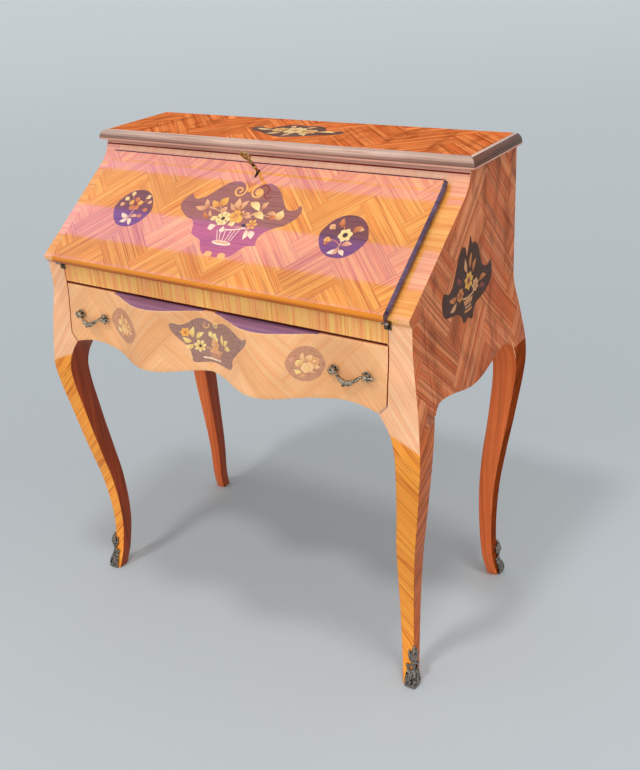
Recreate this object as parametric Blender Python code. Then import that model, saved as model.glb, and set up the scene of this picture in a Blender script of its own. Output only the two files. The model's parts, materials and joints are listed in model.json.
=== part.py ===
"""Slant-front writing bureau on cabriole legs, with a fall front over one bowed drawer.

Metres, +Z up, front towards -Y. The origin is on the floor, under the middle of the piece.
"""

import math

import bmesh
import bpy
from mathutils import Matrix, Vector

# Fits
GAP = 0.0003  # between pieces that touch
RUN = 0.0006  # around a pin that turns or a bolt that slides

# Case
LEG_HEIGHT = 0.705  # floor to the underside of the frieze rail
RAIL_HEIGHT = 0.038  # frieze rail, up to desk level
CASE_HEIGHT = 0.1987  # desk level to the underside of the top
CASE_WIDTH = 0.821  # over the side panels
CASE_DEPTH = 0.3993  # front of the stiles to the back of the posts
POST = 0.0432  # corner posts above the legs
SIDE_THICKNESS = 0.020
BACK_THICKNESS = 0.010
BACK_PANEL_DROP = 0.115  # back panel below the frieze rail
DESK_THICKNESS = 0.015

# Top
TOP_THICKNESS = 0.0183
TOP_INSET_SIDE = 0.0047  # top board inside the side faces
TOP_INSET_FRONT = 0.0035  # top board behind the top of the slope
TOP_INSET_BACK = 0.004
MOULDING = 0.0152  # how far the moulding stands out from the top board
MOULDING_FILLET = 0.003
MOULDING_STEPS = 6

# Legs: share of the leg's height, flare to the side, the front and the back, thickness
LEG_STATIONS = (
    (0.000, -0.0140, 0.0030, 0.0080, 0.0240),
    (0.070, -0.0200, -0.0110, -0.0030, 0.0250),
    (0.185, -0.0230, -0.0200, -0.0040, 0.0280),
    (0.325, -0.0175, -0.0150, -0.0030, 0.0330),
    (0.440, -0.0070, -0.0025, 0.0030, 0.0380),
    (0.570, 0.0065, 0.0085, 0.0130, 0.0420),
    (0.725, 0.0200, 0.0205, 0.0230, 0.0485),
    (0.795, 0.0176, 0.0170, 0.0253, 0.0550),
    (0.880, 0.0107, 0.0095, 0.0142, 0.0550),
    (1.000, 0.0, 0.0, 0.0, 0.0432),
)
LEG_COLUMNS = ("share", "side", "front", "back", "thickness")
LEG_STEP = 0.030  # spacing of the leg's sections
KNEE_HEIGHT = 0.045  # stretch under the drawer corner in which leg and post blend
EAR_REACH = 0.0155  # ear of a front leg under the drawer corner
EAR_DROP = 0.006  # tip of the ear below the drawer front

# Sabots: share of the height, how far the casting stands out, how far it wraps each face
SABOT_HEIGHT = 0.078
SABOT_STATIONS = (
    (0.00, 0.0080, 0.0190),
    (0.10, 0.0085, 0.0195),
    (0.24, 0.0050, 0.0170),
    (0.45, 0.0035, 0.0150),
    (0.70, 0.0040, 0.0115),
    (0.88, 0.0030, 0.0070),
    (1.00, 0.0015, 0.0030),
)

# Side apron, between the posts
APRON_DROP = 0.1293  # mean lower edge below the frieze rail
APRON_WAVE = 0.0117
APRON_WAVELENGTH = 0.270
APRON_EAR = 0.016
APRON_STEPS = 40

# Slope of the fall
SLOPE_ANGLE = math.radians(36.0)
SLOPE_TOP_ANGLE = math.radians(80.0)
COVE_RADIUS = 0.0726
COVE_STEPS = 8
NOSE_OVERHANG = 0.0072
NOSE_RISE = 0.014  # end of the slope above desk level
NOSE_FOOT = 0.008
STILE_WIDTH = 0.0385
STILE_DEPTH = 0.025
TOP_RAIL_FOOT_ANGLE = math.radians(54.5)
TOP_RAIL_DEPTH = 0.030

# Fall front
LID_LAP = 0.020  # over each slope stile
LID_THICKNESS = 0.015
LID_OVERHANG = 0.0136  # beyond the nose of the sides
LID_BAND = 0.016  # upright lower edge
LID_TOP_ANGLE = math.radians(60.0)
HEEL_CLEARANCE = 0.0006
LEATHER_WIDTH = 0.560
LEATHER_LENGTH = 0.150
LEATHER_START = 0.040  # along the slope from the nose
LEATHER_THICKNESS = 0.001

# Hinges
HINGE_FORWARD = 0.003  # pin in front of the nose
HINGE_INSET = 0.016  # middle of a hinge from the inner face of its stile
HINGE_LENGTH = 0.020
HINGE_BARREL = 0.0033
HINGE_PIN = 0.0014
HINGE_LEAF = 0.0012
HINGE_LEAF_HEIGHT = 0.012
ROUND_STEPS = 16

# Stays: two equal arms that keep the shape of a parallelogram with the lid
STAY_ARM = 0.120
STAY_LIFT = 0.004  # pivots above the hinge line when the lid is open
STAY_BAR = 0.0090
STAY_THICKNESS = 0.0025
STAY_PIN = 0.0020
STAY_FOOT = 0.018  # length of a bracket
STAY_PLATE = 0.0020
STAY_MARGIN = 0.0035  # between the outer ear and the slope stile

# Lock, on the inside of the fall
KEY_ANGLE = math.radians(42.0)
LOCK_WIDTH = 0.050
LOCK_UP = 0.0135
LOCK_DOWN = 0.018
LOCK_DEPTH = 0.010
LOCK_SEAT = 0.0035  # let into the lid
BOLT_WIDTH = 0.016
BOLT_THICKNESS = 0.004
BOLT_LENGTH = 0.022
BOLT_THROW = 0.007
BIT_RADIUS = 0.0060
BIT_THICKNESS = 0.0020
KEY_SHANK = 0.0024
KEY_LENGTH = 0.062  # outside the lid
KEY_BOW_WIDTH = 0.022
KEY_BOW_LENGTH = 0.026
KEY_WIRE = 0.0019
KEYHOLE_SLOT = 0.0085
LINER = 0.0010
KEEP_THICKNESS = 0.0015
KEEP_LENGTH = 0.036
KEEP_WIDTH = 0.012

# Drawer
DRAWER_CLEARANCE = 0.0025
DRAWER_HEIGHT = 0.1125
DRAWER_BOARD = 0.020  # front board behind the line of the stiles
DRAWER_BACK_ROOM = 0.0393  # behind the drawer
DRAWER_WALL = 0.012
DRAWER_SIDE_HEIGHT = 0.092
DRAWER_SIDE_RISE = 0.007  # sides above the lower edge of the front
DRAWER_SIDE_INSET = 0.0047  # sides inside the ends of the front
DRAWER_FLOOR = 0.005
BOW = 0.043
BOW_CENTRE = 0.125
BOW_MARGIN = 0.0063  # between the foot of a bow and the middle of the nearest handle mount
BOW_SCALLOP = 0.006
CORNER_CUT_HEIGHT = 0.0115
DRAWER_COLUMNS = 56
DRAWER_ROWS = 5
RUNNER_THICKNESS = 0.0075
RUNNER_WIDTH = 0.018  # under the drawer side
RUNNER_GUIDE = 0.035

# Handles
HANDLE_INSET = 0.0678  # middle of a handle from the end of the drawer front
HANDLE_SPAN = 0.0640
HANDLE_DROP = 0.055  # below the top edge of the drawer
HANDLE_STANDOFF = 0.0095
HANDLE_ROSETTE = 0.0085
HANDLE_BALL = 0.0050
BAIL_DROP = 0.0110
BAIL_FORWARD = 0.0090  # how far the bail bows out from its pivots
BAIL_WIRE = 0.0024
BAIL_SWELL = 0.0016
BAIL_PIVOT = 0.0012
BAIL_STEPS = 24

# Fitted interior
UNIT_CLEARANCE = 0.012  # between the unit and each slope stile
UNIT_DEPTH = 0.148
UNIT_WALL = 0.010
SHELF_THICKNESS = 0.008
NEST_HEIGHT = 0.068
NEST_WALL = 0.006
NEST_CLEARANCE = 0.0008
KNOB_RADIUS = 0.007
KNOB_LENGTH = 0.013

HALF = CASE_WIDTH / 2
OPENING = HALF - POST
INSIDE = HALF - SIDE_THICKNESS
DESK_Z = LEG_HEIGHT + RAIL_HEIGHT
CASE_TOP = DESK_Z + CASE_HEIGHT
TOP_Z = CASE_TOP + TOP_THICKNESS
DRAWER_TOP = LEG_HEIGHT - DRAWER_CLEARANCE
DRAWER_LOW = DRAWER_TOP - DRAWER_HEIGHT
DRAWER_HALF = OPENING - GAP * 4
DRAWER_DEPTH = CASE_DEPTH - DRAWER_BOARD - BACK_THICKNESS - DRAWER_BACK_ROOM
STILE_INNER = INSIDE - STILE_WIDTH
LID_WIDTH = (STILE_INNER + LID_LAP) * 2
HINGE_CENTRE = STILE_INNER + HINGE_INSET
HANDLE_CENTRE = DRAWER_HALF - HANDLE_INSET
BOW_SPREAD = HANDLE_CENTRE - HANDLE_SPAN / 2 - BOW_MARGIN - BOW_CENTRE
UNIT_WIDTH = (STILE_INNER - UNIT_CLEARANCE) * 2
EAR_TOP = DRAWER_LOW + CORNER_CUT_HEIGHT - GAP * 4
EAR_LOW = DRAWER_LOW - EAR_DROP

FINISHES = {
    "tulipwood": ((0.60, 0.27, 0.09), 0.30, 0.0),
    "crossband": ((0.52, 0.20, 0.07), 0.30, 0.0),
    "moulding": ((0.17, 0.08, 0.06), 0.28, 0.0),
    "oak": ((0.42, 0.25, 0.12), 0.55, 0.0),
    "leather": ((0.10, 0.16, 0.09), 0.55, 0.0),
    "bronze": ((0.20, 0.16, 0.11), 0.40, 0.9),
    "brass": ((0.70, 0.52, 0.25), 0.30, 1.0),
    "steel": ((0.45, 0.44, 0.43), 0.35, 1.0),
}


def clear_scene():
    for old in list(bpy.data.objects):
        bpy.data.objects.remove(old, do_unlink=True)


def make_finish(name):
    colour, roughness, metallic = FINISHES[name]
    finish = bpy.data.materials.new(name)
    finish.use_nodes = True
    shader = finish.node_tree.nodes["Principled BSDF"]
    shader.inputs["Base Color"].default_value = (*colour, 1.0)
    shader.inputs["Roughness"].default_value = roughness
    shader.inputs["Metallic"].default_value = metallic
    return finish


def finish_for(name):
    return bpy.data.materials.get(name) or make_finish(name)


def make_object(name, bm, finish, smooth=None):
    bmesh.ops.recalc_face_normals(bm, faces=bm.faces)
    mesh = bpy.data.meshes.new(name)
    bm.to_mesh(mesh)
    bm.free()
    piece = bpy.data.objects.new(name, mesh)
    bpy.context.collection.objects.link(piece)
    mesh.materials.append(finish_for(finish))
    if smooth:
        mesh.shade_smooth()
        mesh.set_sharp_from_angle(angle=math.radians(smooth))
    return piece


def add_loft(bm, rings, closed=False):
    rows = [[bm.verts.new(point) for point in ring] for ring in rings]
    count = len(rings[0])
    pairs = list(zip(rows, rows[1:]))
    if closed:
        pairs.append((rows[-1], rows[0]))
    else:
        bm.faces.new(rows[0])
        bm.faces.new(rows[-1])
    for lower, upper in pairs:
        for i in range(count):
            j = (i + 1) % count
            bm.faces.new((lower[i], lower[j], upper[j], upper[i]))


def loft(name, rings, finish, smooth=None, closed=False):
    bm = bmesh.new()
    add_loft(bm, rings, closed)
    return make_object(name, bm, finish, smooth)


def place(axis, along, first, second):
    """A point from its place along one axis and the two others, in X, Y, Z order."""
    if axis == "x":
        return (along, first, second)
    if axis == "y":
        return (first, along, second)
    return (first, second, along)


def prism(name, outline, axis, low, high, finish, smooth=None):
    rings = [[place(axis, level, a, b) for a, b in outline] for level in (low, high)]
    return loft(name, rings, finish, smooth)


def box(name, low, high, finish, frame=None):
    (x0, y0, z0), (x1, y1, z1) = low, high
    piece = prism(name, [(x0, y0), (x1, y0), (x1, y1), (x0, y1)], "z", z0, z1, finish)
    if frame is not None:
        piece.data.transform(frame)
    return piece


def circle(radius, steps=ROUND_STEPS):
    turns = [2 * math.pi * i / steps for i in range(steps)]
    return [(radius * math.cos(turn), radius * math.sin(turn)) for turn in turns]


def turned(name, profile, origin, direction, finish, steps=ROUND_STEPS):
    """A turned piece: profile is (distance along the axis, radius), from one end to the other."""
    turn = Vector((0, 0, 1)).rotation_difference(Vector(direction)).to_matrix().to_4x4()
    frame = Matrix.Translation(Vector(origin)) @ turn
    rings = [[frame @ Vector((a, b, along)) for a, b in circle(radius, steps)] for along, radius in profile]
    return loft(name, rings, finish, smooth=35)


def tube(name, path, radii, finish, closed=False, steps=8, across=Vector((0, 0, 1))):
    """A round bar along a path that lies in the plane square to across."""
    points = [Vector(point) for point in path]
    last = len(points) - 1
    rings = []
    for i, point in enumerate(points):
        before = points[i - 1] if i or closed else points[0]
        after = points[(i + 1) % len(points)] if i < last or closed else points[last]
        normal = across.cross(after - before).normalized()
        rings.append([point + normal * a + across * b for a, b in circle(radii[i], steps)])
    return loft(name, rings, finish, smooth=50, closed=closed)


def combine(piece, other, operation):
    step = piece.modifiers.new(other.name, "BOOLEAN")
    step.operation = operation
    step.solver = "EXACT"
    step.object = other
    other.hide_render = True
    other.display_type = "WIRE"


def cut(piece, cutter):
    combine(piece, cutter, "DIFFERENCE")


def join(piece, other):
    combine(piece, other, "UNION")


def make_pivot(name, location):
    pivot = bpy.data.objects.new(name, None)
    pivot.location = location
    bpy.context.collection.objects.link(pivot)
    return pivot


def hang(piece, pivot):
    """Parent a piece, and what cuts or joins it, to the empty on its joint."""
    piece.parent = pivot
    piece.matrix_parent_inverse = Matrix.Translation(-pivot.location)
    for step in getattr(piece, "modifiers", []):
        hang(step.object, pivot)


# Leg curve

def leg_value(height, name):
    """A smooth curve through the leg's stations, flat where it joins the post."""
    column = LEG_COLUMNS.index(name)
    share = min(max(height / LEG_HEIGHT, 0.0), 1.0)
    rows = LEG_STATIONS
    last = len(rows) - 1
    k = next(i for i in range(last) if share <= rows[i + 1][0])

    def slope(i):
        if i == last:
            return 0.0
        before, after = rows[max(i - 1, 0)], rows[i + 1]
        return (after[column] - before[column]) / (after[0] - before[0])

    span = rows[k + 1][0] - rows[k][0]
    t = (share - rows[k][0]) / span
    start, end = rows[k][column], rows[k + 1][column]
    rise = (2 * t ** 3 - 3 * t ** 2 + 1) * start + (3 * t ** 2 - 2 * t ** 3) * end
    lean = (t ** 3 - 2 * t ** 2 + t) * slope(k) + (t ** 3 - t ** 2) * slope(k + 1)
    return rise + lean * span


def leg_levels(top):
    foot = [SABOT_HEIGHT * station[0] for station in SABOT_STATIONS]
    knee = EAR_LOW - KNEE_HEIGHT
    steps = int((knee - SABOT_HEIGHT) / LEG_STEP)
    shin = [SABOT_HEIGHT + (knee - SABOT_HEIGHT) * i / steps for i in range(1, steps + 1)]
    ear = [knee + KNEE_HEIGHT * i / 5 for i in range(1, 6)]
    thigh = [EAR_TOP + (LEG_HEIGHT - EAR_TOP) * i / 5 for i in range(6)]
    return foot + shin + ear + thigh + [top]


def ease(height):
    """How far up the knee blend a height is, 0 at the shin and 1 at the ear."""
    return min(max((height - EAR_LOW + KNEE_HEIGHT) / KNEE_HEIGHT, 0.0), 1.0)


def drawer_bow(x):
    away = (abs(x) - BOW_CENTRE) / BOW_SPREAD
    return BOW * math.cos(math.pi / 2 * away) ** 2 if abs(away) < 1 else 0.0


def drawer_lower(x):
    edge = DRAWER_LOW - BOW_SCALLOP * drawer_bow(x) / BOW
    corner = (abs(x) - DRAWER_HALF + EAR_REACH) / EAR_REACH
    return edge + CORNER_CUT_HEIGHT * max(corner, 0.0)


FRONT_REACH = max(drawer_bow(x) + leg_value(drawer_lower(x), "front") for x in (0.0, BOW_CENTRE))
BACK_REACH = max(leg_value(level, "back") for level in leg_levels(CASE_TOP))
FRONT_Y = (FRONT_REACH - CASE_DEPTH - BACK_REACH) / 2
BACK_Y = FRONT_Y + CASE_DEPTH

# Slope curve: distances run along it from the nose, offsets stand out from it

NOSE = Vector((FRONT_Y - NOSE_OVERHANG, DESK_Z + NOSE_RISE))
COVE_RISE = COVE_RADIUS * (math.cos(SLOPE_ANGLE) - math.cos(SLOPE_TOP_ANGLE))
SLOPE_RUN = (CASE_TOP - NOSE.y - COVE_RISE) / math.sin(SLOPE_ANGLE)


def along(angle):
    return Vector((math.cos(angle), math.sin(angle)))


def outward(angle):
    return Vector((-math.sin(angle), math.cos(angle)))


COVE_CENTRE = NOSE + SLOPE_RUN * along(SLOPE_ANGLE) + COVE_RADIUS * outward(SLOPE_ANGLE)


def cove_distance(angle):
    return SLOPE_RUN + COVE_RADIUS * (angle - SLOPE_ANGLE)


def slope_point(distance, offset=0.0):
    if distance <= SLOPE_RUN:
        return NOSE + distance * along(SLOPE_ANGLE) + offset * outward(SLOPE_ANGLE)
    angle = SLOPE_ANGLE + (distance - SLOPE_RUN) / COVE_RADIUS
    return COVE_CENTRE - (COVE_RADIUS - offset) * outward(angle)


def slope_path(start, end, offset=0.0):
    if end <= SLOPE_RUN:
        return [slope_point(start, offset), slope_point(end, offset)]
    first = max(start, SLOPE_RUN)
    stops = [start] if start < SLOPE_RUN else []
    stops += [first + (end - first) * i / COVE_STEPS for i in range(COVE_STEPS + 1)]
    return [slope_point(stop, offset) for stop in stops]


SLOPE_END = cove_distance(SLOPE_TOP_ANGLE)
SLOPE_TOP = slope_point(SLOPE_END)
TOP_FRONT = SLOPE_TOP.x + TOP_INSET_FRONT
TOP_BACK = BACK_Y - TOP_INSET_BACK
TOP_HALF = HALF - TOP_INSET_SIDE

# Hinge line: its height leaves the open fall level with the desk
HINGE_Y = NOSE.x - HINGE_FORWARD
HINGE_LIFT = GAP + NOSE_RISE * math.cos(SLOPE_ANGLE) - HINGE_FORWARD * math.sin(SLOPE_ANGLE)
HINGE_Z = DESK_Z + HINGE_LIFT / (1 + math.cos(SLOPE_ANGLE))


def slope_frame(distance, angle):
    """X across, Y up the slope and Z out of it, at a place on the slope."""
    spot = slope_point(distance)
    up, out = along(angle), outward(angle)
    return Matrix((
        (1, 0, 0, 0),
        (0, up.x, out.x, spot.x),
        (0, up.y, out.y, spot.y),
        (0, 0, 0, 1),
    ))


def build_leg(name, side, front):
    top = DESK_Z if front else CASE_TOP - GAP
    face, sign, base = ("front", -1, FRONT_Y) if front else ("back", 1, BACK_Y)
    rings = []
    for z in leg_levels(top):
        thick = leg_value(z, "thickness")
        x_out = HALF + leg_value(z, "side")
        y_out = base + sign * leg_value(z, face)
        blend = ease(z) ** 2
        x_in = (1 - blend) * (x_out - thick) + blend * OPENING
        y_in = (1 - blend) * (y_out - sign * thick) + blend * (base - sign * POST)
        if front and z < EAR_TOP:
            x_in -= EAR_REACH * blend
        rings.append([(side * x, y, z) for x, y in ((x_in, y_out), (x_out, y_out), (x_out, y_in), (x_in, y_in))])
    return loft(name, rings, "tulipwood", smooth=30)


def build_sabot(name, side, front):
    face, sign, base = ("front", -1, FRONT_Y) if front else ("back", 1, BACK_Y)
    rings = []
    for share, stand, wrap in SABOT_STATIONS:
        z = share * SABOT_HEIGHT
        x = HALF + leg_value(z, "side") + GAP
        y = base + sign * (leg_value(z, face) + GAP)
        outer_x, outer_y = x + stand, y + sign * stand
        far_x, far_y = x - wrap, y - sign * wrap
        ring = ((far_x, y), (x, y), (x, far_y), (outer_x, far_y), (outer_x, outer_y), (far_x, outer_y))
        rings.append([(side * a, b, z) for a, b in ring])
    return loft(name, rings, "bronze", smooth=40)


def apron_edge(y):
    """Lower edge of a side panel: a wave that drops into an ear at each post."""
    middle = (FRONT_Y + BACK_Y) / 2
    reach = CASE_DEPTH / 2 - POST
    away = abs(y - middle)
    peak = min(APRON_WAVELENGTH / 2, reach - APRON_EAR)
    wave = -math.cos(math.pi * min(away / peak, 1.0))
    ear = max((away - peak) / (reach - peak), 0.0)
    return LEG_HEIGHT - APRON_DROP + APRON_WAVE * wave - APRON_EAR * ear ** 2


def build_side_panel(name, side):
    front, back = FRONT_Y + POST + GAP, BACK_Y - POST - GAP
    steps = [front + (back - front) * i / APRON_STEPS for i in range(APRON_STEPS + 1)]
    outline = [(y, apron_edge(y)) for y in steps]
    outline.append((back, CASE_TOP - GAP))
    outline += [tuple(point) for point in reversed(slope_path(0.0, SLOPE_END))]
    outline[APRON_STEPS + 2] = (SLOPE_TOP.x, CASE_TOP - GAP)
    outline.append((NOSE.x, DESK_Z + NOSE_FOOT))
    outline.append((FRONT_Y, DESK_Z + GAP))
    outline.append((front, DESK_Z + GAP))
    bm = bmesh.new()
    add_loft(bm, [[(side * x, y, z) for y, z in outline] for x in (INSIDE, HALF)])
    for level in leg_levels(DESK_Z):
        cut_plane = {"plane_co": (0, 0, level), "plane_no": (0, 0, 1)}
        bmesh.ops.bisect_plane(bm, geom=bm.verts[:] + bm.edges[:] + bm.faces[:], dist=GAP / 10, **cut_plane)
    for vert in bm.verts:
        if abs(vert.co.x) > (INSIDE + HALF) / 2:
            vert.co.x += side * leg_value(vert.co.z, "side")
    return make_object(name, bm, "tulipwood", smooth=30)


def build_slope_stile(name, side):
    end = cove_distance(TOP_RAIL_FOOT_ANGLE) - GAP
    outer = slope_path(0.0, end)
    foot = (DESK_Z + GAP - NOSE.y + STILE_DEPTH * math.cos(SLOPE_ANGLE)) / math.sin(SLOPE_ANGLE)
    inner = slope_path(foot, end, -STILE_DEPTH)
    outline = outer + inner[::-1] + [Vector((FRONT_Y, DESK_Z + GAP)), Vector((NOSE.x, DESK_Z + NOSE_FOOT))]
    ends = (side * STILE_INNER, side * (INSIDE - GAP))
    stile = prism(name, outline, "x", *ends, "tulipwood")
    reach = HINGE_CENTRE + HINGE_LENGTH / 2 + RUN
    recess = HINGE_BARREL + RUN
    near, far = sorted((side * (STILE_INNER - RUN), side * reach))
    low = (near, NOSE.x - RUN, DESK_Z)
    cut(stile, box(name + ".hinge", low, (far, FRONT_Y, HINGE_Z + recess), "tulipwood"))
    return stile


def build_top():
    box("top_board", (-TOP_HALF, TOP_FRONT, CASE_TOP), (TOP_HALF, TOP_BACK, TOP_Z), "tulipwood")
    flat = MOULDING_FILLET
    reach, rise = MOULDING - flat, TOP_THICKNESS - flat
    turns = [math.pi / 2 * i / MOULDING_STEPS for i in range(MOULDING_STEPS + 1)]
    profile = [(0.0, TOP_Z)]
    profile += [(flat + reach * math.sin(t), CASE_TOP + flat + rise * math.cos(t)) for t in turns]
    profile += [(MOULDING, CASE_TOP), (0.0, CASE_TOP)]
    ends = [[(side * (TOP_HALF + GAP + out), TOP_FRONT - GAP - out, z) for out, z in profile] for side in (-1, 1)]
    loft("top_moulding_front", ends, "moulding", smooth=30)
    for word, side in (("left", -1), ("right", 1)):
        mitre = [(side * (TOP_HALF + GAP + out), TOP_FRONT - out, z) for out, z in profile]
        square = [(side * (TOP_HALF + GAP + out), TOP_BACK, z) for out, z in profile]
        mitre = [(x + side * GAP, y + GAP, z) for x, y, z in mitre]
        square = [(x + side * GAP, y, z) for x, y, z in square]
        loft("top_moulding_" + word, [mitre, square], "moulding", smooth=30)


def build_case():
    for word, side in (("left", -1), ("right", 1)):
        build_side_panel("side_panel_" + word, side)
        build_slope_stile("slope_stile_" + word, side)
        build_leg("leg_front_" + word, side, True)
        build_leg("leg_back_" + word, side, False)
        build_sabot("sabot_front_" + word, side, True)
        build_sabot("sabot_back_" + word, side, False)
    width = OPENING - GAP
    box("frieze_rail", (-width, FRONT_Y, LEG_HEIGHT), (width, FRONT_Y + POST, DESK_Z), "crossband")
    back = BACK_Y - BACK_THICKNESS
    box("back_panel", (-width, back, LEG_HEIGHT - BACK_PANEL_DROP), (width, BACK_Y, CASE_TOP - GAP), "oak")
    wide, front, notch, rear = INSIDE - GAP, FRONT_Y + POST + GAP, BACK_Y - POST - GAP, back - GAP
    outline = [(-wide, front), (wide, front), (wide, notch), (width, notch)]
    outline += [(width, rear), (-width, rear), (-width, notch), (-wide, notch)]
    prism("desk_board", outline, "z", DESK_Z - DESK_THICKNESS, DESK_Z, "oak")
    build_top_rail(wide)


def build_top_rail(half_width):
    foot = cove_distance(TOP_RAIL_FOOT_ANGLE)
    face = slope_path(foot, SLOPE_END)
    face[-1] = Vector((SLOPE_TOP.x, CASE_TOP - GAP))
    heel = slope_point(foot, -TOP_RAIL_DEPTH)
    outline = face + [Vector((heel.x, CASE_TOP - GAP)), heel]
    rail = prism("top_rail", outline, "x", -half_width, half_width, "tulipwood")
    frame = lock_frame()
    reach = BOLT_WIDTH / 2 + RUN
    low, high = bolt_depth()
    mouth = LOCK_UP + BOLT_THROW * 2
    mortise = (-reach, LOCK_UP - BOLT_THROW, low - RUN), (reach, mouth, high + RUN)
    cut(rail, box("top_rail.mortise", *mortise, "tulipwood", frame))
    foot_frame = slope_frame(foot, TOP_RAIL_FOOT_ANGLE)
    middle = keep_middle(foot_frame)
    half = KEEP_WIDTH / 2
    low = (-KEEP_LENGTH / 2, -GAP - KEEP_THICKNESS, middle - half)
    keep = box("lock_keep", low, (KEEP_LENGTH / 2, -GAP, middle + half), "brass", foot_frame)
    cut(keep, bpy.data.objects["top_rail.mortise"])


def lock_frame():
    return slope_frame(cove_distance(KEY_ANGLE), KEY_ANGLE)


def bolt_depth():
    """Inner and outer face of the bolt, measured out from the slope."""
    outer = -LOCK_DEPTH / 2 + BOLT_THICKNESS / 2
    return outer - BOLT_THICKNESS, outer


def keep_middle(foot_frame):
    """Where the bolt crosses the foot of the top rail."""
    local = foot_frame.inverted() @ lock_frame()
    start, end = (local @ Vector((0, up, sum(bolt_depth()) / 2)) for up in (LOCK_UP, LOCK_UP + BOLT_THROW))
    return start.z + (end.z - start.z) * (-KEEP_THICKNESS / 2 - start.y) / (end.y - start.y)


def keyhole(radius, slot, width):
    """A round hole with a slot below it."""
    start = -math.pi / 2 + math.asin(width / radius)
    turns = [start + (2 * math.pi - 2 * math.asin(width / radius)) * i / ROUND_STEPS for i in range(ROUND_STEPS + 1)]
    return [(radius * math.cos(t), radius * math.sin(t)) for t in turns] + [(-width, -slot), (width, -slot)]


def build_fall(pivot):
    inner_offset, outer_offset = GAP, GAP + LID_THICKNESS
    hinge = Vector((HINGE_Y, HINGE_Z)) - NOSE
    depth = inner_offset - hinge.dot(outward(SLOPE_ANGLE))
    heel_radius = FRONT_Y - HINGE_Y - HEEL_CLEARANCE
    heel = hinge.dot(along(SLOPE_ANGLE)) - math.sqrt(heel_radius ** 2 - depth ** 2)
    edge = NOSE.x - LID_OVERHANG
    lip = (edge - NOSE.x + outer_offset * math.sin(SLOPE_ANGLE)) / math.cos(SLOPE_ANGLE)
    end = cove_distance(LID_TOP_ANGLE)
    outline = slope_path(heel, end, inner_offset) + slope_path(lip, end, outer_offset)[::-1]
    outline.append(Vector((edge, slope_point(lip, outer_offset).y - LID_BAND)))
    lid = prism("fall_front", outline, "x", -LID_WIDTH / 2, LID_WIDTH / 2, "tulipwood", smooth=20)
    frame = lock_frame()
    half = LOCK_WIDTH / 2 + GAP
    pocket = (-half, -LOCK_DOWN - GAP, -LOCK_DEPTH), (half, LOCK_UP + GAP, LOCK_SEAT + GAP)
    cut(lid, box("fall_front.pocket", *pocket, "tulipwood", frame))
    hole = KEY_SHANK + RUN
    width = BIT_THICKNESS / 2 + RUN
    bush = keyhole(hole + LINER, KEYHOLE_SLOT + LINER, width + LINER)
    bottom, top = LOCK_SEAT + GAP * 2, outer_offset
    socket = keyhole(hole + LINER + GAP, KEYHOLE_SLOT + LINER + GAP, width + LINER + GAP)
    bore = prism("fall_front.keyhole", socket, "z", bottom - RUN, top + LID_THICKNESS, "tulipwood")
    liner = prism("keyhole_liner", bush, "z", bottom, top, "brass")
    slot = prism("keyhole_liner.slot", keyhole(hole, KEYHOLE_SLOT, width), "z", 0.0, top * 2, "brass")
    for piece in (bore, liner, slot):
        piece.data.transform(frame)
    cut(lid, bore)
    cut(liner, slot)
    start, stop = LEATHER_START, LEATHER_START + LEATHER_LENGTH
    skin = slope_path(start, stop, 0.0) + slope_path(start, stop, -LEATHER_THICKNESS)[::-1]
    leather = prism("writing_leather", skin, "x", -LEATHER_WIDTH / 2, LEATHER_WIDTH / 2, "leather")
    for piece in (lid, liner, leather):
        hang(piece, pivot)


def build_lock(pivot, key_pivot):
    frame = lock_frame()
    half = LOCK_WIDTH / 2
    case = box("lock_case", (-half, -LOCK_DOWN, -LOCK_DEPTH), (half, LOCK_UP, LOCK_SEAT), "steel", frame)
    low, high = bolt_depth()
    reach, tail = BOLT_WIDTH / 2, LOCK_UP - BOLT_LENGTH
    channel = (-reach - RUN / 2, tail - RUN, low - RUN / 2), (reach + RUN / 2, LOCK_UP * 2, high + RUN / 2)
    cut(case, box("lock_case.channel", *channel, "steel", frame))
    chamber = prism("lock_case.chamber", circle(BIT_RADIUS + RUN), "z", high + GAP, LOCK_SEAT * 2, "steel")
    chamber.data.transform(frame)
    cut(case, chamber)
    bolt = box("lock_bolt", (-reach, tail, low), (reach, LOCK_UP - GAP, high), "brass", frame)
    hang(case, pivot)
    hang(bolt, pivot)
    face = GAP + LID_THICKNESS
    bow_start = face + KEY_LENGTH - KEY_BOW_LENGTH
    collar = face + KEY_LENGTH / 4
    neck = KEY_SHANK * 1.5
    profile = [(high + RUN, KEY_SHANK), (collar, KEY_SHANK), (collar, neck), (collar + neck, neck)]
    profile += [(collar + neck, KEY_SHANK), (bow_start - neck, KEY_SHANK), (bow_start - neck, neck)]
    profile += [(bow_start, neck), (bow_start + KEY_WIRE, KEY_SHANK)]
    key = turned("key", profile, (0, 0, 0), (0, 0, 1), "brass")
    bit = box("key.bit", (-BIT_THICKNESS / 2, -BIT_RADIUS, high + RUN * 2), (BIT_THICKNESS / 2, 0, LOCK_SEAT - GAP), "brass")
    half_bow, half_long = KEY_BOW_WIDTH / 2 - KEY_WIRE, KEY_BOW_LENGTH / 2 - KEY_WIRE
    middle = face + KEY_LENGTH - KEY_BOW_LENGTH / 2
    turns = [2 * math.pi * i / BAIL_STEPS for i in range(BAIL_STEPS)]
    loop = [(half_bow * math.sin(t), 0, middle - half_long * math.cos(t)) for t in turns]
    bow = tube("key.bow", loop, [KEY_WIRE] * BAIL_STEPS, "brass", closed=True, across=Vector((0, 1, 0)))
    for piece in (key, bit, bow):
        piece.data.transform(frame)
    join(key, bit)
    join(key, bow)
    hang(key, key_pivot)


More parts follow.
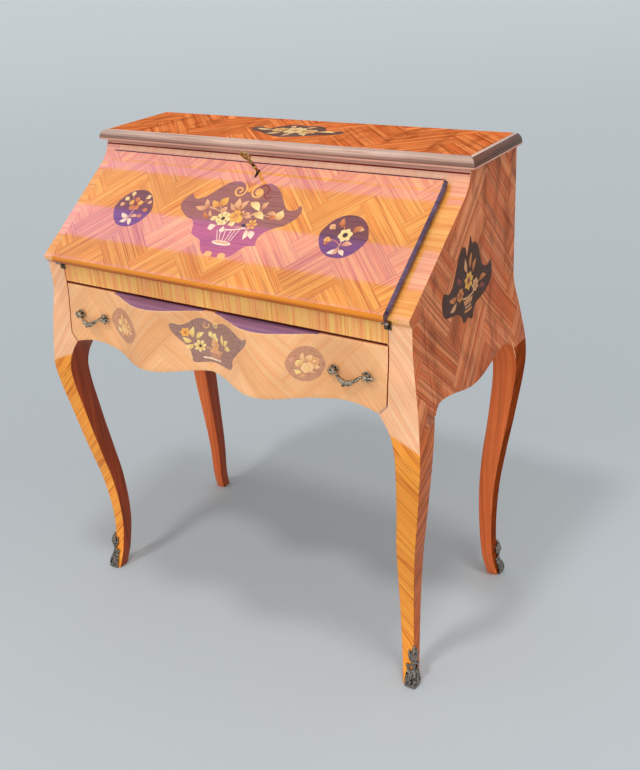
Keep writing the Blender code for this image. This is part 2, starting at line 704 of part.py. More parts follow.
def build_hinge(word, side, pivot):
    low, high = HINGE_CENTRE - HINGE_LENGTH / 2, HINGE_CENTRE + HINGE_LENGTH / 2
    third = HINGE_LENGTH / 3
    ring = [(HINGE_Y + a, HINGE_Z + b) for a, b in circle(HINGE_BARREL)]
    bore = [(HINGE_Y + a, HINGE_Z + b) for a, b in circle(HINGE_PIN + GAP)]
    pin = [(HINGE_Y + a, HINGE_Z + b) for a, b in circle(HINGE_PIN)]

    def part(name, outline, start, end):
        return prism(name, outline, "x", side * start, side * end, "steel", smooth=40)

    name = "hinge_case_leaf_" + word
    face = FRONT_Y - GAP
    foot = HINGE_Z - HINGE_BARREL - HINGE_LEAF_HEIGHT
    web = HINGE_Z - HINGE_BARREL / 2
    plate = [(face, foot), (face, web), (HINGE_Y, web), (HINGE_Y, HINGE_Z - HINGE_BARREL * 0.9)]
    plate += [(face - HINGE_LEAF, HINGE_Z - HINGE_BARREL), (face - HINGE_LEAF, foot)]
    leaf = part(name, plate, low, high)
    join(leaf, part(name + ".barrel", ring, low, high))
    clear = box(name + ".room", (0, 0, 0), (1, 1, 1), "steel")
    clear.data.transform(Matrix.Diagonal((third + RUN, HINGE_BARREL * 2 + RUN, HINGE_BARREL * 3, 1)))
    corner = (side * HINGE_CENTRE - (third + RUN) / 2, HINGE_Y - HINGE_BARREL - RUN / 2, HINGE_Z - HINGE_BARREL * 1.5)
    clear.data.transform(Matrix.Translation(corner))
    cut(leaf, clear)
    join(leaf, part(name + ".pin", pin, low + RUN, high - RUN))

    name = "hinge_lid_leaf_" + word
    middle = HINGE_CENTRE - third / 2 + RUN / 4, HINGE_CENTRE + third / 2 - RUN / 4
    hinge = Vector((HINGE_Y, HINGE_Z)) - NOSE
    spot = hinge.dot(along(SLOPE_ANGLE))
    sunk = hinge.dot(outward(SLOPE_ANGLE))
    reach = HINGE_BARREL * 0.9
    plate = [slope_point(spot - reach, 0.0), slope_point(spot + reach, 0.0)]
    plate += [slope_point(spot + reach, sunk), slope_point(spot - reach, sunk)]
    leaf = part(name, plate, *middle)
    join(leaf, part(name + ".barrel", ring, *middle))
    cut(leaf, part(name + ".bore", bore, low, high))
    hang(leaf, pivot)


def stadium(start, end, radius, steps=ROUND_STEPS):
    heading = math.atan2(end.y - start.y, end.x - start.x)
    half = steps // 2
    tips = []
    for centre, first in ((start, heading + math.pi / 2), (end, heading - math.pi / 2)):
        turns = [first + math.pi * i / half for i in range(half + 1)]
        tips += [centre + radius * along(turn) for turn in turns]
    return tips


def build_stay(word, side, pivot):
    """Case arm, lid arm and their brackets. The arms meet at the elbow."""
    hinge = Vector((HINGE_Y, HINGE_Z))
    level = math.sqrt(STAY_ARM ** 2 - STAY_LIFT ** 2)
    case_pin = hinge + Vector((level, STAY_LIFT))
    lid_pin = hinge + level * along(SLOPE_ANGLE) - STAY_LIFT * outward(SLOPE_ANGLE)
    elbow = case_pin + lid_pin - hinge
    step = STAY_THICKNESS + GAP
    outer = STILE_INNER - STAY_MARGIN
    layers = [(side * (outer - step * i - STAY_THICKNESS), side * (outer - step * i)) for i in range(4)]
    case_ear, case_bar, lid_bar, lid_ear = layers
    half = STAY_BAR / 2
    case_arm = make_pivot("stay_case_pivot_" + word, (case_bar[0], *case_pin))
    lid_arm = make_pivot("stay_lid_pivot_" + word, (lid_bar[0], *lid_pin))
    lid_arm.parent = pivot
    lid_arm.matrix_parent_inverse = Matrix.Translation(-pivot.location)

    def disc(name, centre, radius, start, end):
        outline = [centre + Vector(point) for point in circle(radius)]
        return prism(name, outline, "x", start, end, "brass", smooth=40)

    bar = prism("stay_case_arm_" + word, stadium(case_pin, elbow, half), "x", *case_bar, "brass")
    cut(bar, disc(bar.name + ".eye", case_pin, STAY_PIN + GAP, side * STILE_INNER, 0.0))
    join(bar, disc(bar.name + ".rivet", elbow, STAY_PIN, case_bar[1], lid_bar[0]))
    hang(bar, case_arm)
    bar = prism("stay_lid_arm_" + word, stadium(lid_pin, elbow, half), "x", *lid_bar, "brass")
    for spot, centre in (("lid", lid_pin), ("elbow", elbow)):
        cut(bar, disc(bar.name + "." + spot, centre, STAY_PIN + GAP, side * STILE_INNER, 0.0))
    bar.parent = lid_arm
    bar.matrix_parent_inverse = Matrix.Translation(-Vector((lid_bar[0], *lid_pin)))

    foot = STAY_FOOT / 2
    plate = DESK_Z + GAP
    base = side * (outer - STAY_FOOT / 2), side * outer
    bracket = box("stay_case_bracket_" + word, (min(base), case_pin.x - foot, plate),
                  (max(base), case_pin.x + foot, plate + STAY_PLATE), "brass")
    ear = [(case_pin.x - half, plate), (case_pin.x + half, plate)]
    ear += [(case_pin.x + half, case_pin.y + half), (case_pin.x - half, case_pin.y + half)]
    join(bracket, prism(bracket.name + ".ear", ear, "x", *case_ear, "brass"))
    join(bracket, disc(bracket.name + ".pin", case_pin, STAY_PIN, case_ear[1], case_bar[0]))

    frame = slope_frame((lid_pin - NOSE).dot(along(SLOPE_ANGLE)), SLOPE_ANGLE)
    pin_depth = (lid_pin - NOSE).dot(outward(SLOPE_ANGLE))
    base = sorted((lid_ear[0] - side * foot, lid_ear[1]))
    bracket = box("stay_lid_bracket_" + word, (base[0], -foot, -STAY_PLATE), (base[1], foot, 0.0), "brass", frame)
    sides = sorted(lid_ear)
    join(bracket, box(bracket.name + ".ear", (sides[0], -half, pin_depth - half), (sides[1], half, 0.0), "brass", frame))
    join(bracket, disc(bracket.name + ".pin", lid_pin, STAY_PIN, lid_ear[0], lid_bar[1]))
    hang(bracket, pivot)


def build_drawer(pivot):
    back = FRONT_Y + DRAWER_BOARD
    rings = []
    for i in range(DRAWER_COLUMNS + 1):
        x = DRAWER_HALF * (2 * i / DRAWER_COLUMNS - 1)
        low = drawer_lower(x)
        levels = [DRAWER_TOP + (low - DRAWER_TOP) * j / DRAWER_ROWS for j in range(DRAWER_ROWS + 1)]
        ring = [(x, FRONT_Y - drawer_bow(x) - leg_value(z, "front"), z) for z in levels]
        rings.append(ring + [(x, back, low), (x, back, DRAWER_TOP)])
    front = loft("drawer_front", rings, "tulipwood", smooth=25)
    half = DRAWER_HALF - DRAWER_SIDE_INSET
    inner = half - DRAWER_WALL
    floor = DRAWER_LOW + DRAWER_SIDE_RISE
    rim = floor + DRAWER_SIDE_HEIGHT
    start, end = back + GAP, back + DRAWER_DEPTH
    pieces = [front]
    for word, side in (("left", -1), ("right", 1)):
        near, far = sorted((side * inner, side * half))
        pieces.append(box("drawer_side_" + word, (near, start, floor), (far, end, rim), "oak"))
    wide = inner - GAP
    pieces.append(box("drawer_back", (-wide, end - DRAWER_WALL, floor + DRAWER_FLOOR + GAP), (wide, end, rim), "oak"))
    pieces.append(box("drawer_bottom", (-wide, start, floor), (wide, end, floor + DRAWER_FLOOR), "oak"))
    for piece in pieces:
        hang(piece, pivot)
    build_runners(floor, half)


def build_runners(floor, half):
    top = floor - GAP
    outer = INSIDE - GAP
    guide = half + RUN
    outline = [(guide - RUNNER_WIDTH, top - RUNNER_THICKNESS), (outer, top - RUNNER_THICKNESS)]
    outline += [(outer, top + RUNNER_GUIDE), (guide, top + RUNNER_GUIDE), (guide, top), (guide - RUNNER_WIDTH, top)]
    for word, side in (("left", -1), ("right", 1)):
        shape = [(side * x, z) for x, z in outline]
        prism("drawer_runner_" + word, shape, "y", FRONT_Y + POST + GAP, BACK_Y - POST - GAP, "oak")


def build_handle(word, side, drawer):
    z = DRAWER_TOP - HANDLE_DROP
    seat = FRONT_Y - leg_value(z - HANDLE_ROSETTE, "front") - GAP
    axis_y = seat - HANDLE_STANDOFF
    ball, rosette = HANDLE_BALL, HANDLE_ROSETTE
    length = HANDLE_STANDOFF + ball
    profile = [(0.0, rosette), (0.002, rosette), (0.004, rosette * 0.55), (length - ball * 2, ball * 0.6)]
    turns = [math.pi * i / 8 for i in range(2, 8)]
    profile += [(HANDLE_STANDOFF - ball * math.cos(t), ball * math.sin(t)) for t in turns]
    profile.append((length, ball * 0.2))
    middle = side * HANDLE_CENTRE
    inner = HANDLE_SPAN / 2
    for spot, offset in (("inner", -side * inner), ("outer", side * inner)):
        mount = turned("handle_mount_%s_%s" % (word, spot), profile, (middle + offset, seat, z), (0, -1, 0), "bronze")
        socket = [(axis_y + a, z + b) for a, b in circle(BAIL_PIVOT + GAP, 12)]
        depth = inner - ball * 0.25
        reach = sorted((middle + math.copysign(depth, offset), middle))
        cut(mount, prism(mount.name + ".socket", socket, "x", *reach, "bronze"))
        hang(mount, drawer)
    pivot = make_pivot("bail_pivot_" + word, (middle, axis_y, z))
    pivot.parent = drawer
    pivot.matrix_parent_inverse = Matrix.Translation(-drawer.location)
    shoulder = inner - ball - GAP
    tip = inner - ball * 0.45
    stub = ((tip, BAIL_PIVOT), (shoulder + GAP, BAIL_PIVOT), (shoulder, BAIL_WIRE))
    path = [(middle - x, axis_y, z) for x, _ in stub]
    radii = [radius for _, radius in stub]
    bend = shoulder - BAIL_WIRE
    for i in range(BAIL_STEPS + 1):
        share = i / BAIL_STEPS
        droop = math.sin(math.pi * share) ** 0.8
        path.append((middle - bend + 2 * bend * share, axis_y - BAIL_FORWARD * droop, z - BAIL_DROP * droop))
        radii.append(BAIL_WIRE + BAIL_SWELL * droop)
    path += [(middle + x, axis_y, z) for x, _ in reversed(stub)]
    radii += [radius for _, radius in reversed(stub)]
    across = Vector((0, BAIL_DROP, -BAIL_FORWARD)).normalized()
    bail = tube("handle_bail_" + word, path, radii, "bronze", across=across)
    bail.parent = pivot
    bail.matrix_parent_inverse = Matrix.Translation(-Vector((middle, axis_y, z)))


def build_interior():
    half = UNIT_WIDTH / 2
    back = BACK_Y - BACK_THICKNESS - GAP
    front = back - UNIT_DEPTH
    floor = DESK_Z + GAP
    shelf = floor + NEST_HEIGHT + GAP
    box("interior_shelf", (-half, front, shelf), (half, back, shelf + SHELF_THICKNESS), "oak")
    walls = (("left", -half), ("middle", -UNIT_WALL / 2), ("right", half - UNIT_WALL))
    for word, x in walls:
        box("interior_wall_" + word, (x, front, floor), (x + UNIT_WALL, back, floor + NEST_HEIGHT), "oak")
    for word, side in (("left", -1), ("right", 1)):
        near = UNIT_WALL / 2 + NEST_CLEARANCE
        far = half - UNIT_WALL - NEST_CLEARANCE
        low, high = sorted((side * near, side * far))
        base, rim = floor + GAP, floor + NEST_HEIGHT - NEST_CLEARANCE
        middle = (low + high) / 2
        pivot = make_pivot("interior_drawer_pivot_" + word, (middle, front, base))
        nest = box("interior_drawer_" + word, (low, front, base), (high, back - NEST_CLEARANCE, rim), "tulipwood")
        hollow = (low + NEST_WALL, front + NEST_WALL, base + NEST_WALL)
        roof = (high - NEST_WALL, back - NEST_CLEARANCE - NEST_WALL, rim + NEST_WALL)
        cut(nest, box(nest.name + ".hollow", hollow, roof, "oak"))
        hang(nest, pivot)
        r, length = KNOB_RADIUS, KNOB_LENGTH
        profile = [(GAP, r * 0.7), (length * 0.3, r * 0.45), (length * 0.6, r), (length * 0.85, r * 0.9), (length, r * 0.4)]
        knob = turned("interior_knob_" + word, profile, (middle, front, (base + rim) / 2), (0, -1, 0), "brass")
        hang(knob, pivot)


def main():
    clear_scene()
    build_case()
    build_top()
    fall = make_pivot("fall_pivot", (0, HINGE_Y, HINGE_Z))
    build_fall(fall)
    spot = slope_point(cove_distance(KEY_ANGLE))
    key_pivot = make_pivot("key_pivot", (0, *spot))
    key_pivot.parent = fall
    key_pivot.matrix_parent_inverse = Matrix.Translation(-fall.location)
    build_lock(fall, key_pivot)
    for word, side in (("left", -1), ("right", 1)):
        build_hinge(word, side, fall)
        build_stay(word, side, fall)
    drawer = make_pivot("drawer_pivot", (0, FRONT_Y, DRAWER_LOW))
    build_drawer(drawer)
    for word, side in (("left", -1), ("right", 1)):
        build_handle(word, side, drawer)
    build_interior()


main()
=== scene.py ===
import json
import math

import bmesh
import bpy
from mathutils import Matrix, Vector

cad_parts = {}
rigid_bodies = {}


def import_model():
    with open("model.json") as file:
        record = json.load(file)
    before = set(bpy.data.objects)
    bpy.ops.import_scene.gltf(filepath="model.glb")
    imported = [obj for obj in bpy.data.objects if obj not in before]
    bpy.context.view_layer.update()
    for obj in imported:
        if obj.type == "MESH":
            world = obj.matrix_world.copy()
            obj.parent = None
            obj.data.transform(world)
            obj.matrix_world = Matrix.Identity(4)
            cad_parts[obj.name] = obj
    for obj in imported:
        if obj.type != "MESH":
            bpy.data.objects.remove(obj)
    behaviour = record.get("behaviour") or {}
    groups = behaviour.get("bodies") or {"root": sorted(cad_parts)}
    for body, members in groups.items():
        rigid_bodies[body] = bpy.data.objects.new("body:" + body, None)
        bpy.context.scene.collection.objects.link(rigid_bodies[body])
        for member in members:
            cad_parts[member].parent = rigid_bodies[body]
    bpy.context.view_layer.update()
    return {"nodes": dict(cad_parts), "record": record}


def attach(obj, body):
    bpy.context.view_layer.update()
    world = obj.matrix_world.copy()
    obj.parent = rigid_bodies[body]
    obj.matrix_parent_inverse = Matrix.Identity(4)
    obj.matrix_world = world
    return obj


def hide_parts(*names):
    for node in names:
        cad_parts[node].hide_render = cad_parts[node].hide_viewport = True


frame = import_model()
nodes = frame["nodes"]
print("frame loaded with", len(nodes), "nodes")


# shared lines of the case, in metres
caseLines = {
    "half": 0.4105, "front": -0.18388, "back": 0.21542, "opening": 0.3673, "post": 0.0432,
    "legHeight": 0.705, "desk": 0.743, "caseTop": 0.9414, "top": 0.96, "slope": math.radians(36),
    "nose": Vector((0, -0.19108, 0.757)), "lidFace": 0.0153,
}
upSlope = Vector((0, math.cos(caseLines["slope"]), math.sin(caseLines["slope"])))
offSlope = Vector((0, -math.sin(caseLines["slope"]), math.cos(caseLines["slope"])))


def swatch(red, green, blue):  # a screen colour, 0 to 255, as Blender keeps colours
    return tuple(((c / 255 + 0.055) / 1.055) ** 2.4 for c in (red, green, blue)) + (1.0,)


# small helpers for node trees
def feed(tree, socket, source):
    if isinstance(source, bpy.types.NodeSocket):
        tree.links.new(source, socket)
    elif source is not None:
        socket.default_value = source


def sums(tree, operation, first, second=None):
    node = tree.nodes.new("ShaderNodeMath")
    node.operation = operation
    feed(tree, node.inputs[0], first)
    feed(tree, node.inputs[1], second)
    return node.outputs[0]


def plus(tree, first, second):
    return sums(tree, "ADD", first, second)


def minus(tree, first, second):
    return sums(tree, "SUBTRACT", first, second)


def times(tree, first, second):
    return sums(tree, "MULTIPLY", first, second)


def splitUp(tree, vector):
    node = tree.nodes.new("ShaderNodeSeparateXYZ")
    tree.links.new(vector, node.inputs[0])
    return node.outputs


def putTogether(tree, *axes):
    node = tree.nodes.new("ShaderNodeCombineXYZ")
    for socket, source in zip(node.inputs, axes):
        feed(tree, socket, source)
    return node.outputs[0]


def mixColours(tree, amount, first, second, how="MIX"):
    node = tree.nodes.new("ShaderNodeMix")
    node.data_type, node.blend_type = "RGBA", how
    for index, source in ((0, amount), (6, first), (7, second)):
        feed(tree, node.inputs[index], source)
    return node.outputs[2]


def tinted(tree, amount, colour, tint):  # the colour times a tint, as far as the amount says
    return mixColours(tree, amount, colour, mixColours(tree, 1.0, colour, tint, "MULTIPLY"))


def stretch(tree, vector, scale):  # scale is three numbers or a socket
    node = tree.nodes.new("ShaderNodeVectorMath")
    node.operation = "SCALE" if isinstance(scale, bpy.types.NodeSocket) else "MULTIPLY"
    feed(tree, node.inputs[0], vector)
    feed(tree, node.inputs["Scale"] if node.operation == "SCALE" else node.inputs[1], scale)
    return node.outputs[0]


def noise(tree, vector, scale, detail=3.0, rough=0.55):
    node = tree.nodes.new("ShaderNodeTexNoise")
    feed(tree, node.inputs["Vector"], vector)
    for label, number in (("Scale", scale), ("Detail", detail), ("Roughness", rough)):
        node.inputs[label].default_value = number
    return node.outputs["Fac"]


def window(tree, source, low, high, start=0.0, end=1.0):  # a soft step between low and high
    node = tree.nodes.new("ShaderNodeMapRange")
    node.interpolation_type = "SMOOTHSTEP"
    feed(tree, node.inputs[0], source)
    for index, number in enumerate((low, high, start, end), 1):
        node.inputs[index].default_value = number
    return node.outputs[0]


def newGroup(name, takes, gives):  # names and kinds of its inputs and outputs
    group = bpy.data.node_groups.new(name, "ShaderNodeTree")
    for way, sockets in (("INPUT", takes), ("OUTPUT", gives)):
        for label, kind in sockets.items():
            group.interface.new_socket(label, in_out=way, socket_type="NodeSocket" + kind)
    return group, group.nodes.new("NodeGroupInput").outputs, group.nodes.new("NodeGroupOutput").inputs


def giveOut(group, give, **sources):
    for label, source in sources.items():
        group.links.new(source, give[label])
    return group


def useGroup(tree, group, **sources):
    node = tree.nodes.new("ShaderNodeGroup")
    node.node_tree = group
    for label, source in sources.items():
        feed(tree, node.inputs[label], source)
    return node.outputs


jointLook = {"start": 0.004, "end": 0.022, "toneDepth": 7.0}  # joints as shares of a leaf's width


# veneer leaves laid in herringbone: grain direction, a tone for each leaf, and its joints
def makeHerringbone():
    group, take, give = newGroup("herringbone", {"Place": "Vector", "Leaf": "Float", "Length": "Float"},
                                 {"Grain": "Vector", "Tone": "Float", "Joint": "Float"})
    leafWidth, leafLength = take["Leaf"], take["Length"]
    x, y, _ = splitUp(group, take["Place"])
    width = times(group, leafWidth, math.sqrt(2))
    p = sums(group, "DIVIDE", plus(group, x, y), width)
    q = sums(group, "DIVIDE", minus(group, y, x), width)
    column, row = sums(group, "FLOOR", p), sums(group, "FLOOR", q)
    pair = times(group, leafLength, 2.0)
    step = minus(group, column, row)
    turn = sums(group, "FLOORED_MODULO", step, pair)
    lying = sums(group, "LESS_THAN", turn, leafLength)

    def choose(first, second):  # first where the leaf lies along p
        return plus(group, second, times(group, lying, minus(group, first, second)))

    across, along = choose(q, p), choose(p, q)
    zigzag = sums(group, "FLOOR", sums(group, "DIVIDE", step, pair))
    chance = group.nodes.new("ShaderNodeTexWhiteNoise")
    group.links.new(putTogether(group, choose(row, column), zigzag, lying), chance.inputs["Vector"])
    tone = chance.outputs["Value"]
    grain = putTogether(group, times(group, across, leafWidth), times(group, along, leafWidth),
                        times(group, tone, jointLook["toneDepth"]))
    side = sums(group, "FRACT", across)
    sideGap = sums(group, "MINIMUM", side, minus(group, 1.0, side))
    standing = minus(group, plus(group, minus(group, turn, leafLength), 1.0), sums(group, "FRACT", q))
    reach = choose(plus(group, turn, sums(group, "FRACT", p)), standing)
    endGap = sums(group, "MINIMUM", reach, minus(group, leafLength, reach))
    gap = sums(group, "MINIMUM", sideGap, endGap)
    joint = window(group, gap, jointLook["start"], jointLook["end"], 1.0, 0.0)
    return giveOut(group, give, Grain=grain, Tone=tone, Joint=joint)


stripeLook = {  # noise scale and detail, then where its mask starts and is full
    "squash": (1.0, 0.014, 1.0), "broad": (0.55, 2.0, 0.36, 0.66), "narrow": (1.7, 3.0, 0.52, 0.64),
    "pores": (7.0, 2.0, 0.55, 0.8), "seams": (0.42, 2.0, 0.004, 0.022),
    "dullLeaf": (0.86, 0.80, 0.74, 1), "brightLeaf": (1.05, 1.05, 1.05, 1),
}


# straight-striped veneer, its grain running along the second axis
def makeStripes():
    takes = {"Grain": "Vector", "Pale": "Color", "Warm": "Color", "Dark": "Color", "Stripes": "Float",
             "Tone": "Float", "Lines": "Float", "Pores": "Float", "Seams": "Float"}
    group, take, give = newGroup("stripedVeneer", takes, {"Color": "Color", "Height": "Float"})
    drawn = stretch(group, stretch(group, take["Grain"], stripeLook["squash"]), take["Stripes"])
    grains = {}
    for label in ("broad", "narrow", "pores", "seams"):
        grains[label] = noise(group, drawn, *stripeLook[label][:2])
    broad, narrow, pores = (window(group, grains[label], *stripeLook[label][2:])
                            for label in ("broad", "narrow", "pores"))
    contour = sums(group, "ABSOLUTE", minus(group, grains["seams"], 0.5))  # dark growth lines, far apart
    seams = window(group, contour, *stripeLook["seams"][2:], 1.0, 0.0)
    colour = mixColours(group, broad, take["Warm"], take["Pale"])
    for mask, label in ((narrow, "Lines"), (pores, "Pores"), (seams, "Seams")):
        colour = mixColours(group, times(group, mask, take[label]), colour, take["Dark"])
    shade = mixColours(group, take["Tone"], stripeLook["dullLeaf"], stripeLook["brightLeaf"])
    colour = mixColours(group, 1.0, colour, shade, "MULTIPLY")
    return giveOut(group, give, Color=colour, Height=minus(group, broad, grains["pores"]))


polishLook = {
    "cloudScale": 6.0, "dull": (0.86, 0.82, 0.78, 1), "bright": (1.05, 1.04, 1.02, 1),
    "speckScale": 330.0, "speck": (0.05, 0.025, 0.015, 1), "speckShare": 0.55,
    "glossScale": 18.0, "smooth": 0.34, "rough": 0.50,
}


# old polish: slow change of tone, small dark specks, uneven gloss
def makePolish():
    look = polishLook
    group, take, give = newGroup("oldPolish", {"Place": "Vector", "Color": "Color", "Age": "Float"},
                                 {"Color": "Color", "Roughness": "Float"})
    spot, age = take["Place"], take["Age"]
    cloud = window(group, noise(group, spot, look["cloudScale"], 4.0), 0.35, 0.68)
    specks = window(group, noise(group, spot, look["speckScale"], 1.0), 0.70, 0.78)
    colour = tinted(group, age, take["Color"], mixColours(group, cloud, look["dull"], look["bright"]))
    specks = times(group, specks, times(group, age, look["speckShare"]))
    gloss = window(group, noise(group, spot, look["glossScale"]), 0.3, 0.7, look["smooth"], look["rough"])
    return giveOut(group, give, Color=mixColours(group, specks, colour, look["speck"]), Roughness=gloss)


castLook = {"wearScale": 230.0, "wearShare": 0.60, "hollow": 0.76, "high": 0.88, "pitScale": 700.0,
            "glossScale": 140.0, "smooth": 0.20, "rough": 0.40}


# cast and chased metal: bright on the high places, brown in the hollows
def makeCasting():
    look = castLook
    takes = {"Place": "Vector", "Bright": "Color", "Dull": "Color", "High": "Float"}
    gives = {"Color": "Color", "Roughness": "Float", "Height": "Float"}
    group, take, give = newGroup("chasedMetal", takes, gives)
    spot = take["Place"]
    wear = plus(group, take["High"], times(group, noise(group, spot, look["wearScale"]), look["wearShare"]))
    worn = window(group, wear, look["hollow"], look["high"])
    colour = mixColours(group, worn, take["Dull"], take["Bright"])
    gloss = window(group, noise(group, spot, look["glossScale"]), 0.3, 0.7, look["smooth"], look["rough"])
    pits = noise(group, spot, look["pitScale"], 2.0)
    return giveOut(group, give, Color=colour, Roughness=gloss, Height=pits)


herringbone = makeHerringbone()
stripedVeneer = makeStripes()
oldPolish = makePolish()
chasedMetal = makeCasting()
print("shader groups made")


def newFinish(name, **numbers):
    finish = bpy.data.materials.new(name)
    finish.use_nodes = True
    shader = finish.node_tree.nodes["Principled BSDF"]
    for label, number in numbers.items():
        shader.inputs[label.replace("_", " ")].default_value = number
    return finish, finish.node_tree, shader


def objectPlace(tree):
    return tree.nodes.new("ShaderNodeTexCoord").outputs["Object"]


# flat coordinates on a panel: first axis across it, second axis up it
def panelPlace(tree, plane, fold=False, spin=0.0, shift=(0, 0, 0)):
    x, y, z = splitUp(tree, objectPlace(tree))
    if fold or plane == "wrap":
        x = sums(tree, "ABSOLUTE", x)
    axes = (x, y, z)
    if plane == "front":
        axes = (x, z, y)
    elif plane == "side":
        axes = (y, z, x)
    elif plane == "wrap":  # runs round a corner from the front to the side
        axes = (minus(tree, x, y), z, 0.0)
    elif plane == "slope":
        axes = (x, plus(tree, times(tree, y, upSlope.y), times(tree, z, upSlope.z)), 0.0)
    turned = tree.nodes.new("ShaderNodeMapping")
    tree.links.new(putTogether(tree, *axes), turned.inputs["Vector"])
    turned.inputs["Location"].default_value = shift
    turned.inputs["Rotation"].default_value = (0, 0, math.radians(spin))
    return turned.outputs[0]


def polish(tree, shader, colour, age):
    aged = useGroup(tree, oldPolish, Place=objectPlace(tree), Color=colour, Age=age)
    tree.links.new(aged["Color"], shader.inputs["Base Color"])
    tree.links.new(aged["Roughness"], shader.inputs["Roughness"])


def roughen(tree, shader, height, strength, distance=0.0003):
    bump = tree.nodes.new("ShaderNodeBump")
    bump.inputs["Strength"].default_value = strength
    bump.inputs["Distance"].default_value = distance
    tree.links.new(height, bump.inputs["Height"])
    tree.links.new(bump.outputs[0], shader.inputs["Normal"])


mottleLook = {"squash": (30.0, 9.0, 30.0), "detail": 4.0, "rough": 0.62, "start": 0.48, "end": 0.66}


def veneer(name, look):
    look = {**plainVeneer, **look}
    finish, tree, shader = newFinish(name, Coat_Weight=look["coat"], Coat_Roughness=look["gloss"],
                                     Specular_IOR_Level=look["sheen"])
    pale, warm, dark = (swatch(*tone) for tone in look["tones"])
    flat = panelPlace(tree, look["plane"], look["fold"], look["spin"], look["shift"])
    grain, tone, joint = flat, look["tone"], None
    if "leaf" in look:
        laid = useGroup(tree, herringbone, Place=flat, Leaf=look["leaf"], Length=look["length"])
        grain, tone, joint = laid["Grain"], laid["Tone"], laid["Joint"]
    seams, fade = look["seams"], None
    if "lower" in look:  # a second tone that takes over further down the piece: painted shadow at the foot of the lid band, painted shade low on the moulding, a real change of veneer on the legs
        x, _, level = splitUp(tree, objectPlace(tree))
        if "lean" in look:  # the change of tone follows a joint that falls towards the outer edge
            level = plus(tree, level, times(tree, sums(tree, "ABSOLUTE", x), look["lean"]))
        fade = window(tree, level, *look["fade"], 1.0, 0.0)
        seams = times(tree, fade, seams)
    striped = useGroup(tree, stripedVeneer, Grain=grain, Pale=pale, Warm=warm, Dark=dark, Tone=tone,
                       Stripes=look["stripes"], Lines=look["lines"], Pores=look["pores"], Seams=seams)
    colour, height = striped["Color"], striped["Height"]
    if joint is not None:
        colour = mixColours(tree, times(tree, joint, look["joint"]), colour, dark)
        height = minus(tree, height, times(tree, joint, look["jointDepth"]))
    if "mottle" in look:  # dark figure that wanders across the leaves
        drawn = stretch(tree, flat, mottleLook["squash"])
        figure = noise(tree, drawn, 1.0, mottleLook["detail"], mottleLook["rough"])
        figure = window(tree, figure, mottleLook["start"], mottleLook["end"], 0.0, look["mottle"])
        colour = mixColours(tree, figure, colour, dark)
    if fade is not None:
        colour = tinted(tree, fade, colour, look["lower"])
    polish(tree, shader, colour, look["age"])
    roughen(tree, shader, height, look["relief"])
    return finish


def metal(name, bright, dull, relief):
    finish, tree, shader = newFinish(name, Metallic=1.0)
    high = tree.nodes.new("ShaderNodeNewGeometry").outputs["Pointiness"]
    cast = useGroup(tree, chasedMetal, Place=objectPlace(tree), High=high,
                    Bright=swatch(*bright), Dull=swatch(*dull))
    tree.links.new(cast["Color"], shader.inputs["Base Color"])
    tree.links.new(cast["Roughness"], shader.inputs["Roughness"])
    roughen(tree, shader, cast["Height"], relief, 0.0002)
    return finish


inlayWoodLook = {"gloss": 0.04, "sheen": 0.12, "tone": 0.8, "lines": 0.7, "pores": 0.3, "age": 0.5,
                 "woodStripes": 420.0, "woodSpin": 24.0, "groundStripes": 260.0, "groundSpin": 90.0}


# inlaid woods: fine grain, scorched darker towards the root of each petal
def inlayWood(name, pale, scorched, plane="front", coat=0.35, ground=False):
    look = inlayWoodLook
    kind = "ground" if ground else "wood"
    finish, tree, shader = newFinish(name, Coat_Weight=coat, Coat_Roughness=look["gloss"],
                                     Specular_IOR_Level=look["sheen"])
    pale, scorched = swatch(*pale), swatch(*scorched)
    striped = useGroup(tree, stripedVeneer, Grain=panelPlace(tree, plane, False, look[kind + "Spin"]),
                       Pale=pale, Warm=pale, Dark=scorched, Stripes=look[kind + "Stripes"], Tone=look["tone"],
                       Lines=look["lines"], Pores=look["pores"])
    colour = striped["Color"]
    if not ground:
        burn = tree.nodes.new("ShaderNodeAttribute")
        burn.attribute_name = "scorch"
        colour = mixColours(tree, burn.outputs["Fac"], colour, scorched)
    if name in reddened:
        tint, low, high = reddened[name]
        level = splitUp(tree, objectPlace(tree))[2]
        colour = tinted(tree, window(tree, level, low, high, 1.0, 0.0), colour, tint)
    polish(tree, shader, colour, look["age"])
    return finish


